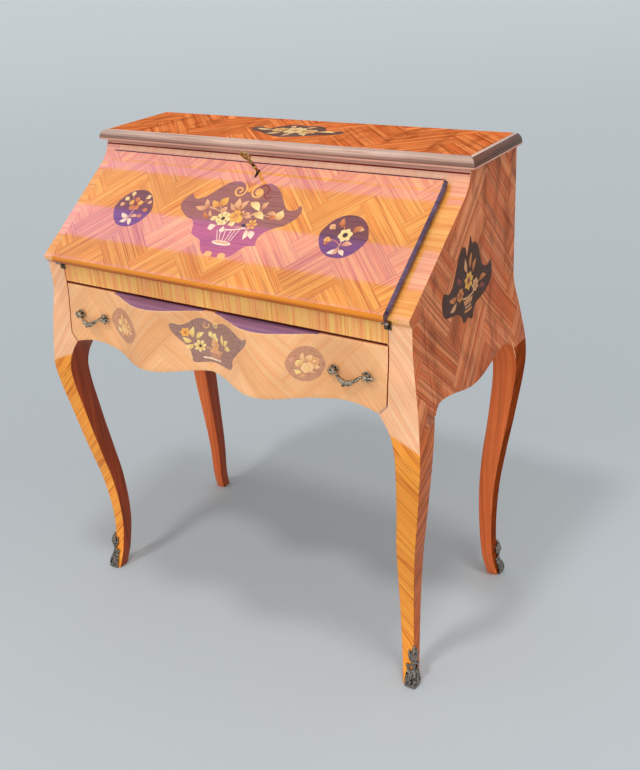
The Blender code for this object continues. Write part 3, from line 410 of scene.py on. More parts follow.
# what a veneer has unless its own line says otherwise
plainVeneer = dict(
    fold=False, spin=0.0, shift=(0, 0, 0), length=3.0, tone=0.6, lines=0.6, pores=0.2, seams=0.0, joint=0.45,
    jointDepth=1.5, coat=0.5, gloss=0.12, sheen=0.25, age=0.7, relief=0.25)
veneerLooks = dict(  # tones are pale, warm and dark
    lidHerringbone=dict(
        plane="slope", fold=True, leaf=0.044, shift=(0.010, 0.013, 0), stripes=300.0, lines=0.55, pores=0.1,
        tones=((250, 178, 86), (238, 150, 62), (176, 78, 34)), coat=1.0, gloss=0.03, sheen=0.05),
    # the band darkens over its last few millimetres at the foot: painted shadow
    lidBand=dict(
        plane="front", spin=90.0, stripes=200.0, lines=0.3,
        tones=((255, 166, 52), (248, 150, 34), (226, 118, 24)), lower=(0.62, 0.46, 0.35, 1),
        fade=(0.7555, 0.7610), coat=0.2),
    stileCrossband=dict(
        plane="slope", spin=90.0, stripes=240.0, lines=0.45, pores=0.1,
        tones=((252, 186, 104), (242, 162, 78), (210, 116, 52)), coat=1.0, gloss=0.03, sheen=0.05),
    friezeCrossband=dict(
        plane="front", stripes=210.0, lines=0.5, pores=0.1, seams=0.4,
        tones=((255, 208, 118), (255, 180, 116), (236, 112, 50)), coat=0.1, sheen=0.1),
    topRailCrossband=dict(
        plane="slope", spin=24.0, stripes=260.0, lines=0.3,
        tones=((255, 208, 178), (255, 194, 162), (246, 162, 132)), coat=0.2, sheen=0.1),
    drawerHerringbone=dict(
        plane="front", fold=True, leaf=0.052, shift=(0.012, 0.0, 0), stripes=190.0, lines=0.3, pores=0.05,
        joint=0.2, tones=((253, 200, 148), (252, 188, 132), (236, 148, 88)), coat=0.2, gloss=0.15,
        sheen=0.15),
    sideHerringbone=dict(
        plane="side", leaf=0.058, shift=(0.03, 0.02, 0), stripes=130.0, mottle=0.5, lines=0.5, pores=0.15,
        joint=0.3, seams=0.3, tones=((248, 158, 106), (222, 114, 64), (116, 50, 28)), coat=0.0, sheen=0.1),
    topHerringbone=dict(
        plane="top", fold=True, leaf=0.055, stripes=150.0, mottle=0.5,
        tones=((248, 152, 88), (224, 116, 62), (138, 58, 28)), coat=0.0, sheen=0.0),
    legStripes=dict(
        plane="wrap", spin=-42.0, stripes=200.0, lines=0.22, pores=0.05, seams=0.75,
        tones=((255, 206, 164), (251, 188, 144), (190, 96, 52)),
        lower=(1.0, 0.69, 0.17, 1), lean=0.4, fade=(0.699, 0.707), coat=0.1, sheen=0.12),
    # outer faces of the legs: crosswise veneer, darker than the fronts as painted shade of faces turned from
    # the light
    legSides=dict(
        plane="wrap", spin=-50.0, stripes=150.0, mottle=0.35, seams=0.5,
        tones=((242, 136, 74), (218, 110, 56), (118, 52, 26)), coat=0.0, sheen=0.1),
    # a darker copy still for the back right leg's outer face: painted shade
    agedLegSides=dict(
        plane="wrap", spin=-50.0, stripes=150.0, mottle=0.35, seams=0.5,
        tones=((176, 80, 36), (150, 66, 30), (80, 34, 18)), coat=0.0, sheen=0.0),
    # dark stained edges of the fall; their blue-violet tone is a painted reflection of cool light overhead
    darkEdge=dict(
        plane="wrap", stripes=120.0, tones=((114, 92, 126), (88, 70, 100), (56, 42, 60)), coat=0.45,
        gloss=0.1),
    # the flat tops of the drawer's bows: dark stain with a painted blue reflection
    drawerEdge=dict(
        plane="front", spin=90.0, stripes=160.0, tones=((172, 128, 162), (146, 104, 148), (108, 80, 124)),
        coat=0.1),
    # pale lilac along the top of the round and darker towards its foot: painted highlight and painted shade
    mouldingWood=dict(
        plane="wrap", spin=90.0, stripes=160.0, tones=((240, 206, 190), (222, 180, 164), (176, 130, 116)),
        lower=(0.46, 0.36, 0.33, 1), fade=(0.9455, 0.9565), coat=0.4, gloss=0.2),
    mouldingShade=dict(
        plane="wrap", spin=90.0, stripes=160.0, tones=((116, 78, 62), (96, 64, 50), (66, 42, 34)),
        coat=0.1, gloss=0.2),
    mouldingFillet=dict(
        plane="wrap", spin=90.0, stripes=160.0, tones=((240, 184, 164), (226, 166, 146), (186, 126, 108)),
        coat=0.2),
    # a dark mahogany used where shade falls: painted shade in gaps and on the shaded inner faces
    mahogany=dict(plane="wrap", stripes=150.0, tones=((176, 74, 30), (154, 62, 24), (100, 38, 14)), coat=0.1),
    # a lighter copy for inner faces turned to the light: painted light
    paleMahogany=dict(
        plane="wrap", stripes=150.0, lines=0.4, tones=((236, 122, 60), (216, 102, 46), (150, 64, 28)),
        coat=0.1),
    oak=dict(
        plane="top", stripes=120.0, tones=((206, 162, 108), (182, 136, 84), (134, 92, 52)), coat=0.1,
        relief=0.5),
    oakSlope=dict(
        plane="slope", spin=90.0, stripes=120.0, tones=((206, 162, 108), (182, 136, 84), (134, 92, 52)),
        coat=0.1, relief=0.5),
    oakUpright=dict(
        plane="wrap", spin=90.0, stripes=120.0, tones=((200, 154, 100), (176, 130, 80), (128, 88, 50)),
        coat=0.1, relief=0.5),
    backOak=dict(
        plane="front", stripes=90.0, tones=((158, 112, 70), (132, 90, 54), (92, 60, 34)), coat=0.0,
        relief=0.6),
)
metalLooks = {  # bright tone, dull tone, relief
    "bronze": ((204, 186, 162), (28, 23, 20), 0.3), "footBronze": ((158, 148, 138), (30, 25, 22), 0.3),
    "brass": ((220, 192, 126), (60, 44, 24), 0.3), "darkBronze": ((120, 104, 84), (36, 28, 22), 0.3),
    "steel": ((206, 208, 210), (96, 96, 98), 0.15), "gilt": ((214, 170, 86), (168, 124, 56), 0.1),
}
inlayLooks = {  # pale tone, scorched tone
    "boxwood": ((250, 218, 142), (206, 140, 70)), "satinwood": ((244, 182, 74), (190, 104, 28)),
    "pearwood": ((240, 182, 124), (190, 112, 62)), "padouk": ((224, 138, 66), (150, 70, 26)),
    "limewood": ((252, 226, 152), (222, 168, 86)), "ivory": ((250, 226, 190), (224, 180, 130)),
    "tulipLight": ((250, 184, 96), (232, 150, 70)), "redwood": ((148, 62, 36), (96, 34, 20)),
    "rosewood": ((226, 164, 136), (192, 122, 100)), "stainedGreen": ((70, 62, 40), (36, 32, 22)),
    # a faded inlay wood in the drawer ovals, and a painted highlight along the drawer's rim
    "fadedApricot": ((252, 206, 150), (214, 142, 92)),
}
groundLooks = {  # darker kingwood on the fall, faded on the drawer: pale tone, dark tone, plane, coat
    "fallGround": ((160, 100, 76), (100, 56, 44), "slope", 1.0),
    "fallOvalGround": ((122, 70, 58), (82, 44, 40), "slope", 1.0),
    "drawerGround": ((166, 128, 116), (132, 96, 88), "front", 0.2),
    "ovalGround": ((204, 148, 116), (168, 112, 88), "front", 0.2),
    "sideGround": ((88, 56, 44), (54, 34, 28), "side", 0.0),
    "topGround": ((98, 50, 28), (62, 29, 17), "top", 0.0),
    # the next four are dark lines painted as shadow, in gaps and in the keyhole
    "redLine": ((138, 36, 22), (96, 22, 14), "front", 0.0),
    "darkLine": ((74, 34, 34), (46, 20, 22), "slope", 0.1),
    "keySlot": ((26, 18, 16), (16, 11, 10), "slope", 0.0),
    "friezeGap": ((78, 20, 12), (50, 12, 8), "front", 0.0),
}
reddened = {"fallGround": ((1.42, 0.86, 0.82, 1), 0.832, 0.846)}  # tint, where it is full, where it ends
leatherLook = {"hide": (104, 34, 26), "worn": (148, 66, 44), "coat": 0.15, "gloss": 0.3, "cells": 900.0,
               "wearScale": 9.0, "rough": 0.55, "rubbed": 0.42, "relief": 0.5}


def makeLeather():
    look = leatherLook
    finish, tree, shader = newFinish("writingLeather", Coat_Weight=look["coat"], Coat_Roughness=look["gloss"])
    spot = objectPlace(tree)
    cells = tree.nodes.new("ShaderNodeTexVoronoi")
    tree.links.new(spot, cells.inputs["Vector"])
    cells.inputs["Scale"].default_value = look["cells"]
    wear = window(tree, noise(tree, spot, look["wearScale"], 4.0), 0.45, 0.75)
    colour = mixColours(tree, wear, swatch(*look["hide"]), swatch(*look["worn"]))
    tree.links.new(colour, shader.inputs["Base Color"])
    tree.links.new(window(tree, wear, 0.0, 1.0, look["rough"], look["rubbed"]), shader.inputs["Roughness"])
    roughen(tree, shader, cells.outputs["Distance"], look["relief"])
    return finish


finishes = {name: veneer(name, look) for name, look in veneerLooks.items()}
finishes.update({name: metal(name, *look) for name, look in metalLooks.items()})
finishes.update({name: inlayWood(name, *look) for name, look in inlayLooks.items()})
finishes.update({name: inlayWood(name, *look, ground=True) for name, look in groundLooks.items()})
finishes["leather"] = makeLeather()
print("finishes made:", len(finishes))


# modelling helpers, used as one would by hand
def clearHands():
    if bpy.context.mode != "OBJECT":
        bpy.ops.object.mode_set(mode="OBJECT")
    bpy.ops.object.select_all(action="DESELECT")


def takeUp(piece):
    clearHands()
    piece.select_set(True)
    bpy.context.view_layer.objects.active = piece
    return piece


def named(name):
    piece = bpy.context.active_object
    piece.name = piece.data.name = name
    return piece


def settle(piece):  # its place goes into the mesh
    takeUp(piece)
    bpy.ops.object.transform_apply(location=True, rotation=True, scale=True)
    return piece


def setAt(piece, matrix):
    piece.matrix_world = matrix
    bpy.context.view_layer.update()
    return settle(piece)


def faceOut():
    bpy.ops.mesh.select_all(action="SELECT")
    bpy.ops.mesh.normals_make_consistent(inside=False)


def pull(share, middle):  # scales what is selected
    bpy.ops.transform.resize(value=share, center_override=middle)


def raiseRing(step, share, middle):  # extrudes what is selected, then scales it
    bpy.ops.mesh.extrude_region_move(TRANSFORM_OT_translate={"value": step})
    pull(share, middle)


def inEdit(piece, *jobs):  # the first job has the whole piece selected, the next what that one left
    takeUp(piece)
    bpy.ops.object.mode_set(mode="EDIT")
    bpy.ops.mesh.select_all(action="SELECT")
    for work, *values in jobs:
        work(*values)
    bpy.ops.object.mode_set(mode="OBJECT")
    return piece


def weld():
    bpy.ops.mesh.remove_doubles(threshold=0.00001)


def smoothOver(piece, angle=35):
    takeUp(piece)
    bpy.ops.object.shade_smooth_by_angle(angle=math.radians(angle))
    return piece


def finishWith(piece, kind, **values):  # adds a modifier and applies it
    takeUp(piece)
    modifier = piece.modifiers.new(kind.title(), kind)
    for label, number in values.items():
        setattr(modifier, label, number)
    bpy.ops.object.modifier_apply(modifier=modifier.name)
    return piece


def softenEdges(piece, width, segments=2, angle=40):
    return finishWith(piece, "BEVEL", width=width, segments=segments, limit_method="ANGLE",
                      angle_limit=math.radians(angle), use_clamp_overlap=True)


def evenShading(piece):
    return finishWith(piece, "WEIGHTED_NORMAL", mode="FACE_AREA", weight=100, keep_sharp=True)


def joinPieces(name, parts):
    clearHands()
    for part in parts:
        part.select_set(True)
    bpy.context.view_layer.objects.active = parts[0]
    bpy.ops.object.join()
    return named(name)


def mirrored(piece, name):
    takeUp(piece)
    bpy.ops.object.duplicate()
    return inEdit(named(name), (pull, (-1, 1, 1), (0, 0, 0)), (faceOut,))


def place(piece, body, slot, finish, *replaced):
    if finish is not None:
        piece.data.materials.clear()
        piece.data.materials.append(finishes[finish])
    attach(piece, body)
    if replaced:
        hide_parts(*replaced)
    return piece


def bodyOf(node):
    return next(body for body, members in frame["record"]["behaviour"]["bodies"].items() if node in members)


def addObject(name, data):
    piece = bpy.data.objects.new(name, data)
    bpy.context.scene.collection.objects.link(piece)
    return piece


def fromSolid(node, slot, finish, edge=0.0, smooth=35):  # a copy of a CAD solid, welded and softened
    first, *others = node.split("_")
    name = first + "".join(word.title() for word in others)
    piece = inEdit(addObject(name, nodes[node].data.copy()), (weld,), (faceOut,))
    if edge:
        softenEdges(piece, edge)
    smoothOver(piece, smooth)
    if edge:
        evenShading(piece)
    return place(piece, bodyOf(node), slot, finish, node)


def paintFaces(piece, finish, test):  # a second finish on the faces that pass the test
    piece.data.materials.append(finishes[finish])
    index = len(piece.data.materials) - 1
    for face in piece.data.polygons:
        if test(face.center, face.normal):
            face.material_index = index


def wire(name, points, radii, closed=False):  # a curve with thickness, made mesh
    clearHands()
    curve = bpy.data.curves.new(name, "CURVE")
    curve.dimensions, curve.bevel_depth, curve.bevel_resolution = "3D", 1.0, 3
    curve.use_fill_caps = True
    line = curve.splines.new("POLY")
    line.points.add(len(points) - 1)
    line.use_cyclic_u = closed
    for spot, point, radius in zip(line.points, points, radii):
        spot.co, spot.radius = (*point, 1.0), radius
    takeUp(addObject(name, curve))
    bpy.ops.object.convert(target="MESH")
    return named(name)


def bead(spot, radius, squash=(1, 1, 1), rings=8):  # a small ball, pulled to shape
    clearHands()
    bpy.ops.mesh.primitive_uv_sphere_add(segments=rings * 2, ring_count=rings, radius=radius, location=spot)
    return settle(inEdit(named("bead"), (pull, squash, spot)))


def turnedPiece(name, rings, sides=28):  # rings of (height, radius), raised one from the other
    clearHands()
    height, radius = rings[0]
    bpy.ops.mesh.primitive_circle_add(vertices=sides, radius=radius, fill_type="NGON",
                                      location=(0, 0, height))
    jobs = [(raiseRing, (0, 0, high - low), (after / before, after / before, 1), (0, 0, high))
            for (low, before), (high, after) in zip(rings, rings[1:])]
    return inEdit(settle(named(name)), *jobs, (faceOut,))


bothSides = (("Left", -1), ("Right", 1))
bothEnds = (("front", True), ("back", False))
# cabriole legs, raised ring by ring through the stations of their curve
legLook = {
    "stations": (  # share of the height, side, front and back flare, thickness
        (0.000, -0.0140, 0.0030, 0.0080, 0.0240), (0.070, -0.0200, -0.0110, -0.0030, 0.0250),
        (0.185, -0.0230, -0.0200, -0.0040, 0.0280), (0.325, -0.0175, -0.0150, -0.0030, 0.0330),
        (0.440, -0.0070, -0.0025, 0.0030, 0.0380), (0.570, 0.0065, 0.0085, 0.0130, 0.0420),
        (0.725, 0.0200, 0.0205, 0.0230, 0.0485), (0.795, 0.0176, 0.0170, 0.0253, 0.0550),
        (0.880, 0.0107, 0.0095, 0.0142, 0.0550), (1.000, 0.0, 0.0, 0.0, 0.0432)),
    "columns": ("share", "side", "front", "back", "thickness"),
    "knee": (0.539, 0.584), "earTop": 0.6003, "earReach": 0.0155, "rounding": 0.0022, "steps": 44,
    "kneeSteps": 8, "postSteps": 9, "patternFrom": 0.56, "shadeFrom": 0.6, "outward": 0.72, "inward": -0.5,
    "behind": -0.7, "level": 0.9,
}


def legShape(height, column):
    rows, column = legLook["stations"], legLook["columns"].index(column)
    share = min(max(height / caseLines["legHeight"], 0.0), 1.0)
    last = len(rows) - 1
    k = next(i for i in range(last) if share <= rows[i + 1][0])

    def lean(i):
        if i == last:
            return 0.0
        before, after = rows[max(i - 1, 0)], rows[i + 1]
        return (after[column] - before[column]) / (after[0] - before[0])

    span = rows[k + 1][0] - rows[k][0]
    t = (share - rows[k][0]) / span
    level = (2 * t ** 3 - 3 * t ** 2 + 1) * rows[k][column] + (3 * t ** 2 - 2 * t ** 3) * rows[k + 1][column]
    return level + span * ((t ** 3 - 2 * t ** 2 + t) * lean(k) + (t ** 3 - t ** 2) * lean(k + 1))


def legCorner(z, front):  # outer corner of a right leg, the way it faces, and the line it flares from
    face, sign, base = ("front", -1, caseLines["front"]) if front else ("back", 1, caseLines["back"])
    return caseLines["half"] + legShape(z, "side"), base + sign * legShape(z, face), sign, base


def legRing(z, front):  # middle, width, depth and height of a ring of a right leg
    low, high = legLook["knee"]
    blend = min(max((z - low) / (high - low), 0.0), 1.0) ** 2
    xOut, yOut, sign, base = legCorner(z, front)
    thick = legShape(z, "thickness")
    xIn = (1 - blend) * (xOut - thick) + blend * caseLines["opening"]
    yIn = (1 - blend) * (yOut - sign * thick) + blend * (base - sign * caseLines["post"])
    if front and z < legLook["earTop"] - 0.0001:
        xIn -= legLook["earReach"] * blend
    return (xIn + xOut) / 2, (yIn + yOut) / 2, xOut - xIn, abs(yOut - yIn), z


def makeLeg(name, front):
    (low, high), ear, look = legLook["knee"], legLook["earTop"], legLook
    levels = [low * i / look["steps"] for i in range(look["steps"] + 1)]
    levels += [low + (high - low) * i / look["kneeSteps"] for i in range(1, look["kneeSteps"] + 1)]
    post = look["postSteps"]
    levels += [ear + (caseLines["legHeight"] - ear) * i / post for i in range(post + 1)]
    levels.append(caseLines["desk"] if front else caseLines["caseTop"])
    rings = [legRing(z, front) for z in levels]
    x, y, wide, deep, z = rings[0]
    clearHands()
    bpy.ops.mesh.primitive_plane_add(size=1.0, location=(x, y, z))
    jobs = [(pull, (wide, deep, 1), (x, y, z))]
    for (x, y, wide, deep, z), (toX, toY, toWide, toDeep, toZ) in zip(rings, rings[1:]):
        grow = (toWide / wide, toDeep / deep, 1)
        jobs.append((raiseRing, (toX - x, toY - y, toZ - z), grow, (toX, toY, toZ)))
    piece = inEdit(settle(named(name)), *jobs, (faceOut,))
    softenEdges(piece, look["rounding"], 3, 60)
    return smoothOver(piece, 50)


def dressLeg(piece, node, side, front):
    place(piece, "carcase", "tulipwood", "legStripes", node)
    facing, look = -1 if front else 1, legLook

    def outer(normal):
        return side * normal.x > look["outward"]

    def inner(normal):
        return side * normal.x < look["inward"]

    # outer faces take the darker copy: painted shade
    paintFaces(piece, "legSides", lambda spot, normal: outer(normal))
    paintFaces(piece, "sideHerringbone", lambda spot, normal: outer(normal) and spot.z > look["patternFrom"])
    # the back right leg's outer face is darker again: painted shade
    if side > 0 and not front:
        paintFaces(piece, "agedLegSides", lambda spot, normal: outer(normal) and spot.z < look["patternFrom"])
    # inner faces: a dark mahogany that also stands in for the shade in the gap beside the drawer; low down
    # the left legs keep it as painted shade, while the right legs and the back legs' front faces take the
    # lighter copy as painted light
    paintFaces(piece, "mahogany", lambda spot, normal: inner(normal))
    paintFaces(piece, "mahogany" if side < 0 else "paleMahogany", lambda spot, normal: (
        (inner(normal) and spot.z < look["shadeFrom"]) or abs(normal.z) > look["level"]))
    paintFaces(piece, "paleMahogany", lambda spot, normal: facing * normal.y < look["behind"])


for word, front in bothEnds:
    right = makeLeg("leg" + word.title() + "Right", front)
    left = smoothOver(mirrored(right, "leg" + word.title() + "Left"), 50)
    dressLeg(right, "leg_%s_right" % word, 1, front)
    dressLeg(left, "leg_%s_left" % word, -1, front)
print("legs made")


# drawer front: a board with two bows, flared like the legs beside it
drawerLook = {
    "half": 0.3664, "top": 0.7025, "low": 0.59, "bow": 0.043, "bowCentre": 0.125, "bowSpread": 0.135,
    "scallop": 0.006, "arch": 0.0057, "archStart": 0.245, "droop": 0.0048, "cornerWide": 0.0150,
    "cornerHigh": 0.0153, "board": 0.020, "columns": 110, "rows": 12, "rounding": 0.0012,
    "edgeFrom": 0.0035, "rimFrom": 0.69, "endFrom": 0.35,
}
drawerInner = drawerLook["half"] - drawerLook["cornerWide"]


def bowAt(x):
    share = (abs(x) - drawerLook["bowCentre"]) / drawerLook["bowSpread"]
    return drawerLook["bow"] * math.cos(math.pi / 2 * share) ** 2 if abs(share) < 1 else 0.0


def drawerFace(x, z):
    return caseLines["front"] - bowAt(x) - legShape(z, "front")


def drawerLower(x):
    look = drawerLook
    cut = max(abs(x) - drawerInner, 0.0) / look["cornerWide"]
    t = min(max((abs(x) - look["archStart"]) / (drawerInner - look["archStart"]), 0.0), 1.0)
    arch = look["arch"] * math.sin(math.pi * t) - look["droop"] * t ** 3
    return look["low"] - look["scallop"] * bowAt(x) / look["bow"] + arch + look["cornerHigh"] * cut


def makeDrawerFront():
    look = drawerLook
    columns, rows = look["columns"], look["rows"]
    clearHands()
    bpy.ops.mesh.primitive_grid_add(x_subdivisions=columns, y_subdivisions=rows, size=2.0)
    piece = named("drawerFront")
    for vert in piece.data.vertices:  # the grid becomes the bowed face
        column = round((vert.co.x + 1) / 2 * columns)
        x = drawerLook["half"] * vert.co.x
        if 0 < column < columns:
            x = drawerInner * (2 * (column - 1) / (columns - 2) - 1)
        low = drawerLower(x)
        z = low + (drawerLook["top"] - low) * (vert.co.y + 1) / 2
        vert.co = (x, drawerFace(x, z), z)
    back = caseLines["front"] + drawerLook["board"]
    inEdit(piece, (raiseRing, (0, 0.01, 0), (1, 0, 1), (0, back, 0)), (faceOut,))
    softenEdges(piece, drawerLook["rounding"], 2, 60)
    smoothOver(piece, 40)
    place(piece, "drawer", "tulipwood", "drawerHerringbone", "drawer_front")
    # tops of the bows: dark stain with a painted blue reflection
    paintFaces(piece, "drawerEdge", lambda spot, normal: normal.z > 0.8 and bowAt(spot.x) > look["edgeFrom"])
    # the rounded top rim takes a pale wood: painted highlight
    paintFaces(piece, "fadedApricot", lambda spot, normal: 0.25 < normal.z < 0.8 and spot.z > look["rimFrom"])
    # the ends take a dark mahogany so the gap beside the legs reads dark: painted shade
    paintFaces(piece, "mahogany", lambda spot, normal: abs(normal.x) > 0.6 and abs(spot.x) > look["endFrom"])
    paintFaces(piece, "oakUpright", lambda spot, normal: normal.y > 0.8 or normal.z < -0.8)


makeDrawerFront()
print("drawer front made")


# case boards and the fall, from the solids with softened edges
caseBoards = (  # nodes, slot, finish, edge
    ("fall_front", "tulipwood", "lidHerringbone", 0.0007),
    ("slope_stile_left slope_stile_right", "crossband", "stileCrossband", 0.0003),
    ("top_rail", "crossband", "topRailCrossband", 0.0),
    ("frieze_rail", "crossband", "friezeCrossband", 0.0010),
    ("side_panel_left side_panel_right", "tulipwood", "sideHerringbone", 0.0004),
    ("top_board", "tulipwood", "topHerringbone", 0.0006),
    ("top_moulding_front top_moulding_left top_moulding_right", "moulding", "mouldingWood", 0.0),
    ("desk_board", "oak", "oak", 0.0008), ("back_panel", "oak", "backOak", 0.0008),
)
boards = {node: fromSolid(node, slot, finish, edge)
          for members, slot, finish, edge in caseBoards for node in members.split()}
fall = boards["fall_front"]
lipLook = {"front": (-0.2047, 0.7500), "heel": (-0.2034, 0.7483), "near": 0.0011,
           "frontRise": 0.0055, "heelRise": 0.0047, "bandTop": 0.78, "topEdge": Vector((0, 0.45, 0.89))}
for vert in fall.data.vertices:  # a thinner lip along the foot of the fall
    if math.dist(vert.co.yz, lipLook["front"]) < lipLook["near"]:
        vert.co.z += lipLook["frontRise"]
    elif math.dist(vert.co.yz, lipLook["heel"]) < lipLook["near"]:
        vert.co += upSlope * lipLook["heelRise"]
evenShading(fall)
paintFaces(fall, "lidBand", lambda spot, normal: normal.y < -0.62 and spot.z < lipLook["bandTop"])
# the side and top edges of the fall: dark stain with a painted blue reflection
paintFaces(fall, "darkEdge", lambda spot, normal: (
    abs(normal.x) > 0.8 or normal.dot(lipLook["topEdge"]) > 0.93))
paintFaces(fall, "oakSlope", lambda spot, normal: normal.dot(offSlope) < -0.5)
panelEdge = {"slopeBack": 0.03, "slopeFoot": 0.74, "noseBack": -0.17, "noseFoot": 0.735, "tilt": 0.15}


def onSlopeEdge(spot, normal):
    narrow = abs(normal.x) < 0.7 and normal.z > panelEdge["tilt"]
    return narrow and spot.y < panelEdge["slopeBack"] and spot.z > panelEdge["slopeFoot"]


def onNoseEdge(spot, normal):
    narrow = abs(normal.x) < 0.7 and normal.z <= panelEdge["tilt"]
    return narrow and spot.y < panelEdge["noseBack"] and spot.z > panelEdge["noseFoot"]


for word, side in bothSides:
    panel = boards["side_panel_" + word.lower()]
    paintFaces(panel, "oakUpright", lambda spot, normal, inward=-side: inward * normal.x > 0.8)
    paintFaces(panel, "stileCrossband", onSlopeEdge)
    paintFaces(panel, "drawerHerringbone", onNoseEdge)
filletTop = 0.9450
for word in ("front", "left", "right"):
    moulding = boards["top_moulding_" + word]
    # faces turned to the sides take a darker copy: painted shade
    paintFaces(moulding, "mouldingShade", lambda spot, normal: abs(normal.x) > 0.45)
    paintFaces(moulding, "mouldingFillet", lambda spot, normal: spot.z < filletTop and abs(normal.z) < 0.5)
print("case boards made")


# the rest of the inside keeps its solids
plainNodes = {
    "oak": "interior_shelf drawer_bottom",
    "oakUpright": "interior_wall_left interior_wall_middle interior_wall_right drawer_side_left "
                  "drawer_side_right drawer_back drawer_runner_left drawer_runner_right",
    "drawerHerringbone": "interior_drawer_left interior_drawer_right",
    "leather": "writing_leather",
    "steel": "lock_case stay_case_bracket_left stay_case_bracket_right stay_lid_bracket_left "
             "stay_lid_bracket_right stay_case_arm_left stay_case_arm_right stay_lid_arm_left "
             "stay_lid_arm_right",
    "brass": "lock_bolt lock_keep",
}
for finish, members in plainNodes.items():
    for node in members.split():
        nodes[node].data.materials.clear()
        nodes[node].data.materials.append(finishes[finish])
# the leaves are narrower than their solids, and the knuckle is bright
hingeLook = {"width": 0.65, "middle": 0.368, "pin": (-0.19408, 0.74845), "knuckle": 0.0037, "edge": 0.0003}
for kind in ("case", "lid"):
    for word, side in bothSides:
        node = "hinge_%s_leaf_%s" % (kind, word.lower())
        hingeLeaf = fromSolid(node, "steel", "darkBronze", hingeLook["edge"])
        inEdit(hingeLeaf, (pull, (hingeLook["width"], 1, 1), (side * hingeLook["middle"], 0, 0)))
        paintFaces(hingeLeaf, "steel", lambda spot, normal: (
            math.dist(spot.yz, hingeLook["pin"]) < hingeLook["knuckle"]))
for word in ("left", "right"):
    fromSolid("interior_knob_" + word, "brass", "brass", 0.0, 60)
fromSolid("keyhole_liner", "brass", "darkBronze", 0.0002)
print("fittings from the solids made")


# foot mounts: a fluted toe, crossed scrolls and a pointed leaf, cast to lie on the corner of the foot
footLook = {
    "flutes": 7, "pitch": 0.0042, "fluteTop": 0.030, "bulge": 0.0050, "flute": 0.0027, "scroll": 0.0022,
    "spread": 1.22, "rise": 1.08, "weight": 1.16, "corner": 0.0045, "pearl": 0.0035,
    "pearlSpot": (0.0127, 0.0405, 0.0020), "leafLow": 0.046, "leafTop": 0.080,
    "scrollRun": (  # round the corner, height, lift
        (-0.0098, 0.030, 0.0016), (-0.0075, 0.036, 0.0024), (-0.0040, 0.041, 0.0034), (0.0, 0.0455, 0.0040),
        (0.0038, 0.049, 0.0034), (0.0068, 0.053, 0.0024), (0.0076, 0.0575, 0.0020), (0.0056, 0.0605, 0.0022),
        (0.0034, 0.0585, 0.0028)),
    "leafletRun": ((0.0006, 0.050, 0.0022), (0.0040, 0.056, 0.0026), (0.0062, 0.063, 0.0020),
                   (0.0068, 0.069, 0.0012)),
    "leafletRadii": (0.0016, 0.0034, 0.0026, 0.0007),
    "leafRadii": (0.0020, 0.0040, 0.0056, 0.0064, 0.0062, 0.0054, 0.0043, 0.0031, 0.0018, 0.0006),
}


def arch(share):  # rises from 0 to 1 and falls again
    return math.sin(math.pi * share)


def evenly(count):  # shares from 0 to 1
    return [i / count for i in range(count + 1)]


def onFoot(u, z, lift, front):  # u runs round the corner, from the front to the side
    x, y, sign, _ = legCorner(z, front)
    share = min(max(u / footLook["corner"], -1.0), 1.0) / 2 + 0.5
    out = Vector((share, sign * (1 - share), 0)).normalized()
    return Vector((x, y, z)) + Vector((-max(-u, 0.0), -sign * max(u, 0.0), 0)) + out * lift


def footWire(front, points, radii):
    spread, rise, weight = (footLook[label] for label in ("spread", "rise", "weight"))
    line = [onFoot(u * spread, z * rise, lift, front) for u, z, lift in points]
    return wire("relief", line, [radius * weight for radius in radii])


def footFlute(front, k):  # one flute of the toe, counted from the middle
    look = footLook
    points, radii = [], []
    for t in evenly(9):
        swell = arch(min(0.18 + 0.82 * t, 1.0)) ** 0.9
        bulge = look["bulge"] * swell * (1 - 0.10 * abs(k))
        points.append((k * look["pitch"] * (1.0 - 0.30 * t), 0.0008 + look["fluteTop"] * t, 0.0006 + bulge))
        radii.append(look["flute"] * (0.75 + 0.35 * swell) * (1.0 if t < 0.99 else 0.5))
    return footWire(front, points, radii)


def makeSabot(name, front):
    look = footLook
    half = look["flutes"] // 2
    parts = [footFlute(front, k) for k in range(-half, half + 1)]
    body = [(0.0, 0.001 + 0.060 * t, 0.0002) for t in evenly(10)]
    parts.append(footWire(front, body, [0.0052 - 0.0036 * t for t in evenly(10)]))
    band = [(-0.0105 + 0.021 * t, 0.0315 - 0.002 * arch(t), 0.0030) for t in evenly(12)]
    parts.append(footWire(front, band, [0.0010 + 0.0008 * arch(t) for t in evenly(12)]))
    thinning = [look["scroll"] * (1.0 - 0.06 * i) for i in range(len(look["scrollRun"]))]
    for side in (-1, 1):  # crossed scrolls, each ending in a curl
        for run, radii in ((look["scrollRun"], thinning), (look["leafletRun"], look["leafletRadii"])):
            parts.append(footWire(front, [(side * u, z, lift) for u, z, lift in run], radii))
        u, z, lift = look["pearlSpot"]
        parts.append(bead(onFoot(side * u, z, lift, front), look["pearl"], rings=5))
    tall = look["leafTop"] - look["leafLow"]
    tip = [(0.0, look["leafLow"] + tall * t, 0.0012 + 0.0014 * arch(t)) for t in evenly(9)]
    parts.append(footWire(front, tip, look["leafRadii"]))
    return smoothOver(joinPieces(name, parts), 50)


for word, front in bothEnds:
    right = makeSabot("sabot%sRight" % word.title(), front)
    left = smoothOver(mirrored(right, "sabot%sLeft" % word.title()), 50)
    place(right, "carcase", "bronze", "footBronze", "sabot_%s_right" % word)
    place(left, "carcase", "bronze", "footBronze", "sabot_%s_left" % word)
print("foot mounts made")


